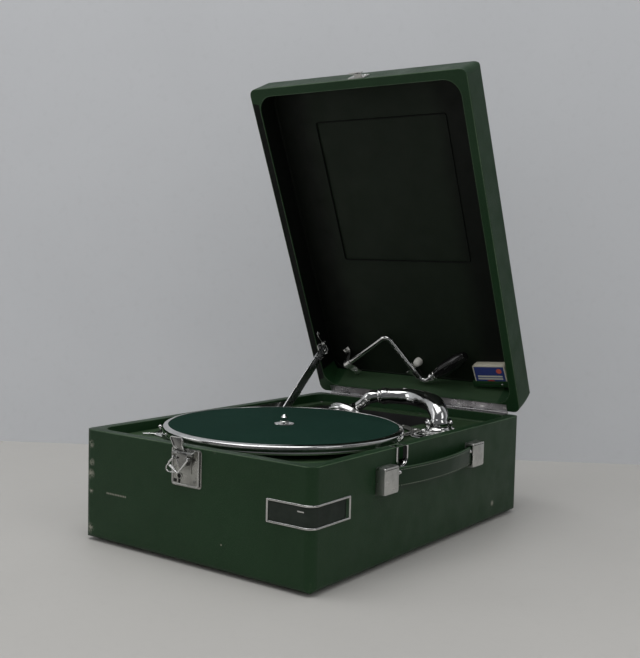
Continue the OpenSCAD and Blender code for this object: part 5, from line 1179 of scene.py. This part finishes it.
def latch_bail_piece():
    """Bent wire on two eyes, with a flat loop to pull it by."""
    y, z = LATCH_PIN[0] - 2.9, LATCH_PIN[1] - 4
    bends = ((-11.9, z - 0.4), (-19, 97.9), (-6, 89.9), (6.9, z - 0.4))
    line = rounded_path([mm(x, y - 1, h) for x, h in bends], 2.4, 8)
    parts = [swept(line, ring_section(0.98, 16), upright=(0, 1, 0))]
    for s in (-1, 1):
        eye = turned([(1.08, -0.9), (1.7, -0.9), (2.0, -0.6), (2.0, 0.6), (1.7, 0.9), (1.08, 0.9)],
                     28, ring=True)
        parts.append(aimed(eye, (LATCH_X + s * 9.4, y, z), TO_RIGHT))
    leaf = [(-18.6, 97.2), (-15.2, 97.0), (-11.6, 95.2), (-8.2, 92.4), (-9.8, 90.6), (-14, 90.2),
            (-18.2, 90.4), (-20.6, 92.2), (-20.4, 95.2)]
    loop = rounded_loop([mm(x, y - 1.0, h) for x, h in leaf], 1.3, 4)
    parts.append(swept(loop, ring_section(0.6, 12), closed=True, upright=(0, 1, 0)))
    piece("bail_wire", joined(parts), chrome, "bail", ["latch_bail"])


# Handle: the strap's level, its middle, and the clips' distance from there

STRAP_Z = 87.5
STRAP_MID_Y = -6
CLIP_REACH = 88
CLIP_HALF = 12.5
CLIP_LOW, CLIP_HIGH = 74.6, 100.4


def strap_x(y, out):
    """Outer (out = 1) or inner (0) face of the bowed strap at a distance from its middle."""
    return -159 + math.sqrt((317 + 5 * out) ** 2 - y * y) if abs(y) < 75 else 149 + 5 * out


def strap_point(y, out, up, lift=0.0):
    return mm(strap_x(y, out) + lift, STRAP_MID_Y + y, STRAP_Z + up)


def handle_pieces():
    """Padded strap with two rows of stitches in pressed creases darkened by painted shade, and an upper
    edge lighter as painted highlight with some wear.
    """
    rows = [-95.8, -86, -75.5] + [-74 + 2 * i for i in range(75)] + [75.5, 86, 95.8]
    fat, tall = 2.5 * MM, 9.5 * MM
    section = []
    for k in range(28):
        a = 2 * math.pi * (k + 0.5) / 28
        c, s = math.cos(a), math.sin(a)
        section.append((math.copysign(abs(c) ** 0.6, c) * fat, math.copysign(abs(s) ** 0.25, s) * tall))
    strap = swept([strap_point(y, 0.5, 0) for y in rows], section)
    piece("handle_leather", strap, cloth_strap, "case", ["handle_strap"], crease=60)

    stitches, creases = [], []
    dip = ((-1.2, -0.5), (-0.7, -0.08), (0.7, -0.08), (1.2, -0.5))
    for level in (-7.5, 7.5):
        for i in range(43):
            y = -72.3 + 3.4 * i
            stitch = [strap_point(y + along, 1, level, lift) for along, lift in dip]
            stitches.append(swept(stitch, ring_section(0.36, 6)))
        # A dark wire along each crease: painted shade
        crease = [strap_point(y, 1, level, -0.12) for y in range(-74, 75, 4)]
        creases.append(swept(crease, ring_section(0.34, 8)))
    piece("strap_stitching", joined(stitches), thread, "case")
    # A lighter wire on the upper edge: painted highlight, with some wear
    edge = swept([strap_point(y, 0.82, 9.25) for y in range(-73, 74, 4)], ring_section(0.4, 8))
    piece("strap_edge_highlight", edge, cloth_edge_highlight, "case")
    piece("strap_crease_shade", joined(creases), shade, "case")
    for s, label in ((-1, "front"), (1, "rear")):
        handle_clip(s, label)


def handle_clip(s, label):
    """Folded metal clip over one end of the strap, with painted shade in its crease and the strap's rivet
    beside it.
    """
    mid = STRAP_MID_Y + s * CLIP_REACH
    y0, y1 = mid - CLIP_HALF, mid + CLIP_HALF
    parts = [on_right(plate(corners(y0, CLIP_LOW, y1, CLIP_HIGH), 1.4, 2.2, 0.55), 155.1)]
    for low, high in ((CLIP_LOW, 77.5), (97.5, CLIP_HIGH)):
        parts.append(block(CASE_X, y0 + 0.2, low, 155.6, y1 - 0.2, high, 0.6))
    end = mid + s * 11.4
    parts.append(block(CASE_X, end - 1.1, 74.8, 155.8, end + 1.1, 100.2, 0.6))
    parts.append(block(CASE_X, y0, CLIP_LOW, 147.3, y1, CLIP_HIGH, 0.3))
    parts.append(swept([mm(156.1, y0 + 1.2, 99.6), mm(156.1, y1 - 1.2, 99.6)], ring_section(0.5, 10)))
    piece("handle_clip_" + label, joined(parts), clip_nickel, "case", ["handle_clips"])
    # A dark strip in the clip's crease: painted shade
    crease = on_right(plate(corners(y0 + 1.4, 97.9, y1 - 1.4, 98.5), 0.1, 0.2), 156.42)
    piece("clip_crease_shade_" + label, crease, shade, "case")
    y = mid - s * 16.6
    ball = turned([(0, 1.6), (0.7, 1.5), (1.3, 1.05), (1.65, 0.4), (1.7, 0), (2.2, -0.1), (2.3, -0.5),
                   (0, -0.5)], 28)
    rivet = moved(ball, facing(strap_point(y - STRAP_MID_Y, 1, 5.2), TO_RIGHT))
    piece("strap_rivet_" + label, rivet, chrome, "case")


# Needle tray's bezel and the winding slot's escutcheon

def bezel_pieces():
    """Wire frame round the tray's mouth, bent round the case's corner; the tray's mark and lining."""
    wire = 1.15
    proud = 1.1 - wire + 0.06
    side_x, front_y = CASE_X + proud, -(CASE_Y + proud)

    def rail(z):
        path = [mm(95.85, front_y, z), mm(side_x, front_y, z), mm(side_x, -148.35, z)]
        return rounded_path(path, 9.2, 12)

    section = ring_section(wire, 16)
    top, under = rail(80.45), rail(60.55)
    parts = [swept(top, section), swept(under, section)]
    for line in (top, under):
        for end in (line[0], line[-1]):
            angles = [math.pi * i / 10 for i in range(11)]
            ball = turned([(wire * math.sin(a), wire * math.cos(a)) for a in angles], 16)
            parts.append(moved(ball, Matrix.Translation(end)))
    parts.append(swept([top[0], under[0]], section))
    parts.append(swept([top[-1], under[-1]], section))
    piece("bezel_frame", joined(parts), chrome_dull, "case", ["corner_bezel"])

    mark = on_front(plate(corners(129.5, 74.2, 137.0, 75.8), 0.35, 0.7, 0.15), -204.95)
    piece("tray_thumb_mark", mark, chrome_dull, "tray")
    lining = plate([(100.2, -201.6), (136, -201.6), (142.2, -195), (142.2, -160), (134, -160), (112, -192),
                    (100.2, -194)], 0.5, 1.5)
    piece("tray_felt", placed(lining, 0, 0, 64.1), felt_dark, "tray")


def escutcheon_pieces():
    """Arched rim of the winding slot with its two ears, the boss below, and dark plates of painted shade
    beside it.
    """
    mid, top, low = -62, 114.6, 94.7
    arch = ((mid - 9.6, top), (mid - 9.6, low), (mid + 9.6, low), (mid + 9.6, top))
    arch = rounded_path([mm(147.0, y, z) for y, z in arch], 8.2, 14)
    section = ((-0.8, -1.05), (0.8, -1.05), (0.95, 0.7), (0.6, 1.05), (-0.6, 1.05), (-0.95, 0.7))
    parts = [swept(arch, [(x * MM, y * MM) for x, y in section], upright=TO_RIGHT)]
    for s in (-1, 1):
        y = mid + s * 7.2
        parts.append(block(136.2, min(y, y + s * 3), 113.9, 147.6, max(y, y + s * 3), 114.95, 0.3))
        parts.append(aimed(screw_head(1.2, 0.25, 1 + s), (140.6, y + s * 1.5, 114.9), UP))
    boss = plate([(mid - 8.4, 102.6), (mid - 4.1, 101.6), (mid - 3.3, 99.6), (mid, 98.6), (mid + 3.3, 99.6),
                  (mid + 4.1, 101.6), (mid + 8.4, 102.6), (mid + 6.2, 97.8), (mid, 95.4),
                  (mid - 6.2, 97.8)], 1.0, 0.5, 0.4)
    parts.append(on_right(boss, 146.2))
    piece("slot_rim", joined(parts), chrome, "case", ["slot_escutcheon"])
    # Dark plates beside the slot: painted shade
    dark = [on_right(plate(corners(y0, 96, y1, top), 0.3, 0.3), CASE_X)
            for y0, y1 in ((mid - 9, mid - 3.95), (mid + 3.95, mid + 9))]
    piece("slot_shade", joined(dark), shade, "case")


# On the deck

def deck_pieces():
    """Plates under the arm and beside it, the brake, the speed wing, and the deck's screws."""
    base = plate([(87.5, 70.5), (119.5, 66.8), (122.2, 103.5), (110.5, 111.5), (90.5, 106.5), (84.5, 88)],
                 1.9, 5, 0.55, 8, 3)
    parts = [placed(base, 0, 0, DECK)]
    for x, y in ((91.6, 74.6), (117.2, 71.6), (110.2, 106.4)):
        bolt = turned([(0, 2.1), (1.2, 1.9), (2.2, 1.3), (2.7, 0.5), (2.8, 0), (0, 0)], 32)
        parts.append(placed(bolt, x, y, DECK + 1.8))
    socket = turned([(8.1, -5.8), (8.1, -0.2), (11.7, -0.2), (11.7, -5.8)], 48, ring=True)
    parts.append(placed(socket, ARM_X, ARM_Y, DECK + 1.9))
    piece("arm_base_plate", joined(parts), chrome, "case", ["tonearm_base"])

    top = DECK + 1.1
    side = plate([(87.4, 50), (100, 36), (133.4, 30.5), (134.2, 58), (122.4, 67.2), (121.6, 71),
                  (88.5, 71)], 1.2, 3, 0.4, 6)
    parts = [placed(side, 0, 0, DECK)]
    parts.append(rod([(89, 47.6, top), (101, 34.4, top), (132.6, 29.6, top)], 0.8, 3, 12))
    for x, y in ((129.4, 35.4), (128.6, 56.2), (93.4, 50.4)):
        bolt = turned([(0, 2.3), (1.2, 2.1), (2.1, 1.4), (2.6, 0.5), (2.7, 0), (0, 0)], 32)
        parts.append(placed(bolt, x, y, top))
    parts.append(placed(rivet_head(1.3, 0.6), 112, 44, top))
    piece("deck_side_plate", joined(parts), chrome, "case")
    brake_pieces()
    speed_piece()
    places = [(-128, -188), (-128, 10), (-60, -189), (60, -189), (128, -100), (128, 40), (129, 186),
              (-129, 186), (20, 189)]
    screws("deck_screws", "case", [(x, y, DECK - 0.05, UP) for x, y in places], 2.3, 0.8, nickel)


def brake_pieces():
    """Brake arm with its washer and two rivets, on a stepped post."""
    x, y = 88, 64
    outline = [(56.9, 79.5), (59.6, 85.2), (63.2, 84.4), (86.2, 69.6), (91.6, 67.6), (93.6, 63.2),
               (96.2, 33.4), (94.9, 28.6), (91.2, 28.0), (89.6, 31.6), (85.2, 58.8), (81.6, 61.6),
               (58.8, 76.6)]
    parts = [placed(plate(outline, 1.2, 1.6, 0.35, 5), 0, 0, DECK + 1.85)]
    arm_top = DECK + 2.95
    washer = turned([(2.1, 1.0), (2.3, 1.5), (3.9, 1.5), (4.3, 1.1), (4.4, 0)], 36, ring=True)
    parts.append(placed(washer, x, y, arm_top - 0.05))
    parts.append(placed(rivet_head(1.7, 1.0), 61.4, 81.0, arm_top))
    parts.append(placed(rivet_head(1.5, 0.8), 92.8, 31.6, arm_top))
    piece("brake_arm", joined(parts), nickel, "brake", ["brake_lever"])
    post = [turned([(0, 1.5), (3.2, 1.45), (4.4, 1.1), (4.9, 0.5), (5, 0), (0, 0)], 40),
            turned([(1.98, 0.2), (1.98, 4.4), (1.7, 4.9), (0, 5.0)], 28)]
    piece("brake_pivot", placed(joined(post), x, y, DECK), chrome_dull, "case", ["brake_post"])


def speed_piece():
    """Speed lever: a pressed wing on a hub, with a ball knob, a pointer and a curled finger hold."""
    x, y = -101, -136
    wing = plate([(x - 10, y - 10), (x - 20, y + 17), (x + 12, y - 14)], 1.15, 2.4, 0.35, 6)
    hub = turned([(0, 2.6), (2.2, 2.5), (3.0, 1.9), (3.2, 1.1), (5.2, 1.1), (5.8, 0.7),
                  (5.9, 0), (0, 0)], 40)
    stem = turned([(2.5, -55), (2.5, -0.2), (0, -0.2)], 28)
    parts = [wing, placed(hub, x, y, 0), placed(stem, x, y, 0)]
    parts.append(placed(ball_knob(1.4, 2.0, 2.3, 4.0, 0.65, 0.28, 9), x - 16.6, y + 10.6, 1.0))
    pointer = [(x - 3, y - 9, 1.3), (x - 9.5, y - 14.2, 1.5), (x - 13.6, y - 17.6, 1.5)]
    parts.append(rod(pointer, 0.9, 0, 12))
    parts.append(placed(rivet_head(1.7, 1.5), x - 8.6, y - 13.4, 1.4))
    curl = [(x + 8.6, y - 12.2, 0.8), (x + 10.4, y - 13.2, 2.2), (x + 9.4, y - 12.8, 3.6),
            (x + 7.8, y - 12.0, 3.0)]
    parts.append(rod(curl, 0.7, 0.7, 12, 5))
    piece("speed_wing", placed(joined(parts), 0, 0, DECK + 0.4), chrome, "speed", ["speed_lever"])


def rim_highlights():
    """The case's rim edges lighter as painted highlight with some wear, and the seam at the back of the
    deck's covering in the same cloth.
    """
    for label, edge in highlit_rim_edges(RIM, -1, 0.4):
        piece("case_edge_highlight_" + label, edge, cloth_edge_highlight, "case")
    seam = [mm(x, y, DECK + 0.1) for x, y in ((60, 184.6), (112, 184.6), (126, 174))]
    piece("deck_seam", swept(seam, ring_section(0.7, 8)), cloth_edge_highlight, "case")


def feet_pieces():
    """Four rubber feet, each hollowed for its screw."""
    feet, heads = [], []
    profile = [(2.6, 1.2), (2.6, 0.4), (3.0, 0.0), (8.1, 0), (8.8, 0.35), (9, 0.9), (8.8, 2.2), (8.4, 3.0),
               (0, 3.0), (0, 1.2)]
    for sx in (-1, 1):
        for sy in (-1, 1):
            middle = shift(sx * 118, sy * 177, 0)
            feet.append(moved(turned(profile, 48), middle))
            heads.append(moved(screw_head(2.3, 0.8, sx + sy), middle @ shift(0, 0, 1.3) @ UPSIDE_DOWN))
    piece("rubber_feet", joined(feet), rubber, "case", ["feet"])
    piece("feet_screws", joined(heads), steel, "case")


for build in (turntable_pieces, arm_pieces, neck_pieces, crank_pieces, crank_holders, tin_pieces, lid_trim,
              stay_pieces, hinge_screws, latch_cover, latch_hook_piece, latch_lever_piece, latch_bail_piece,
              handle_pieces, bezel_pieces, escutcheon_pieces, deck_pieces, rim_highlights, feet_pieces):
    build()


# Studio

AMBIENT = (0.62, 0.625, 0.63)
ROOM = (0.10, 0.102, 0.106)


def studio():
    """One broad lamp overhead in a dark room; only diffuse surfaces see the room's even light."""
    world = bpy.data.worlds.new("studio")
    bpy.context.scene.world = world
    world.use_nodes = True
    tree = world.node_tree
    path = tree.nodes.new("ShaderNodeLightPath")
    seen = path.outputs["Is Camera Ray"]
    for kind in ("Is Glossy Ray", "Is Transmission Ray"):
        either = tree.nodes.new("ShaderNodeMath")
        either.operation = "MAXIMUM"
        tree.links.new(seen, either.inputs[0])
        tree.links.new(path.outputs[kind], either.inputs[1])
        seen = either.outputs[0]
    pick = tree.nodes.new("ShaderNodeMix")
    pick.data_type = "RGBA"
    pick.inputs[6].default_value = (*AMBIENT, 1)
    pick.inputs[7].default_value = (*ROOM, 1)
    tree.links.new(seen, pick.inputs[0])
    tree.links.new(pick.outputs[2], tree.nodes["Background"].inputs["Color"])
    soft_box("overhead", (-0.35, -0.35, 2.2), (-0.05, 0, 0.1), 2.4, 2.0, 33)
    soft_box("left_fill", (-1.9, -1.3, 0.9), (0, 0, 0.15), 0.9, 1.3, 4.5)
    soft_box("right_fill", (1.9, -0.3, 1.3), (0, 0, 0.15), 0.8, 1.2, 4)


def paper(name, tone, clear_behind):
    """Even paper with a faint cloud; clear_behind lets a view through from its back."""
    f = Finish(name)
    cloud = f.noise(3.2, 4)
    speck = f.noise(90, 3)
    colour = f.mix(f.rise(cloud, 0.3, 0.75), tone, tuple(c * 1.05 for c in tone))
    f.put("Base Color", f.mix(f.times(f.rise(speck, 0.55, 0.8), 0.05), colour, (0.2, 0.2, 0.19)))
    f.put("Roughness", 0.55)
    f.put("Specular IOR Level", 0.3)
    if clear_behind:
        side = f.tree.nodes.new("ShaderNodeNewGeometry").outputs["Backfacing"]
        clear = f.tree.nodes.new("ShaderNodeBsdfTransparent").outputs[0]
        both = f.tree.nodes.new("ShaderNodeMixShader")
        for socket, source in zip(both.inputs, (side, f.shader.outputs[0], clear)):
            f.tree.links.new(source, socket)
        f.tree.links.new(both.outputs[0], f.tree.nodes["Material Output"].inputs["Surface"])
    return f.material


def backdrop():
    """A pale floor and a wall behind it, which meet on the line seen behind the case."""
    along = Vector((0.819600, 0.511379, 0)).normalized()
    away = Vector((-along.y, along.x, 0))
    foot = Vector((-0.26675, 0.32242, 0))
    left, right = foot - along * 6, foot + along * 6
    high = Vector(UP) * 5
    floor = [left - away * 6, right - away * 6, right, left]
    wall = [left, right, right + high, left + high]
    for name, outline, tone in (("studio_floor", floor, (0.445, 0.435, 0.415)),
                                ("studio_wall", wall, (0.555, 0.565, 0.585))):
        bm = bmesh.new()
        bm.faces.new([bm.verts.new(corner) for corner in outline])
        mesh = bpy.data.meshes.new(name)
        bm.to_mesh(mesh)
        bm.free()
        obj = bpy.data.objects.new(name, mesh)
        bpy.context.scene.collection.objects.link(obj)
        dress(obj, paper(name + "_paper", tone, clear_behind=name == "studio_wall"))


photo_camera()
studio()
backdrop()
bpy.context.scene.view_settings.view_transform = "Standard"
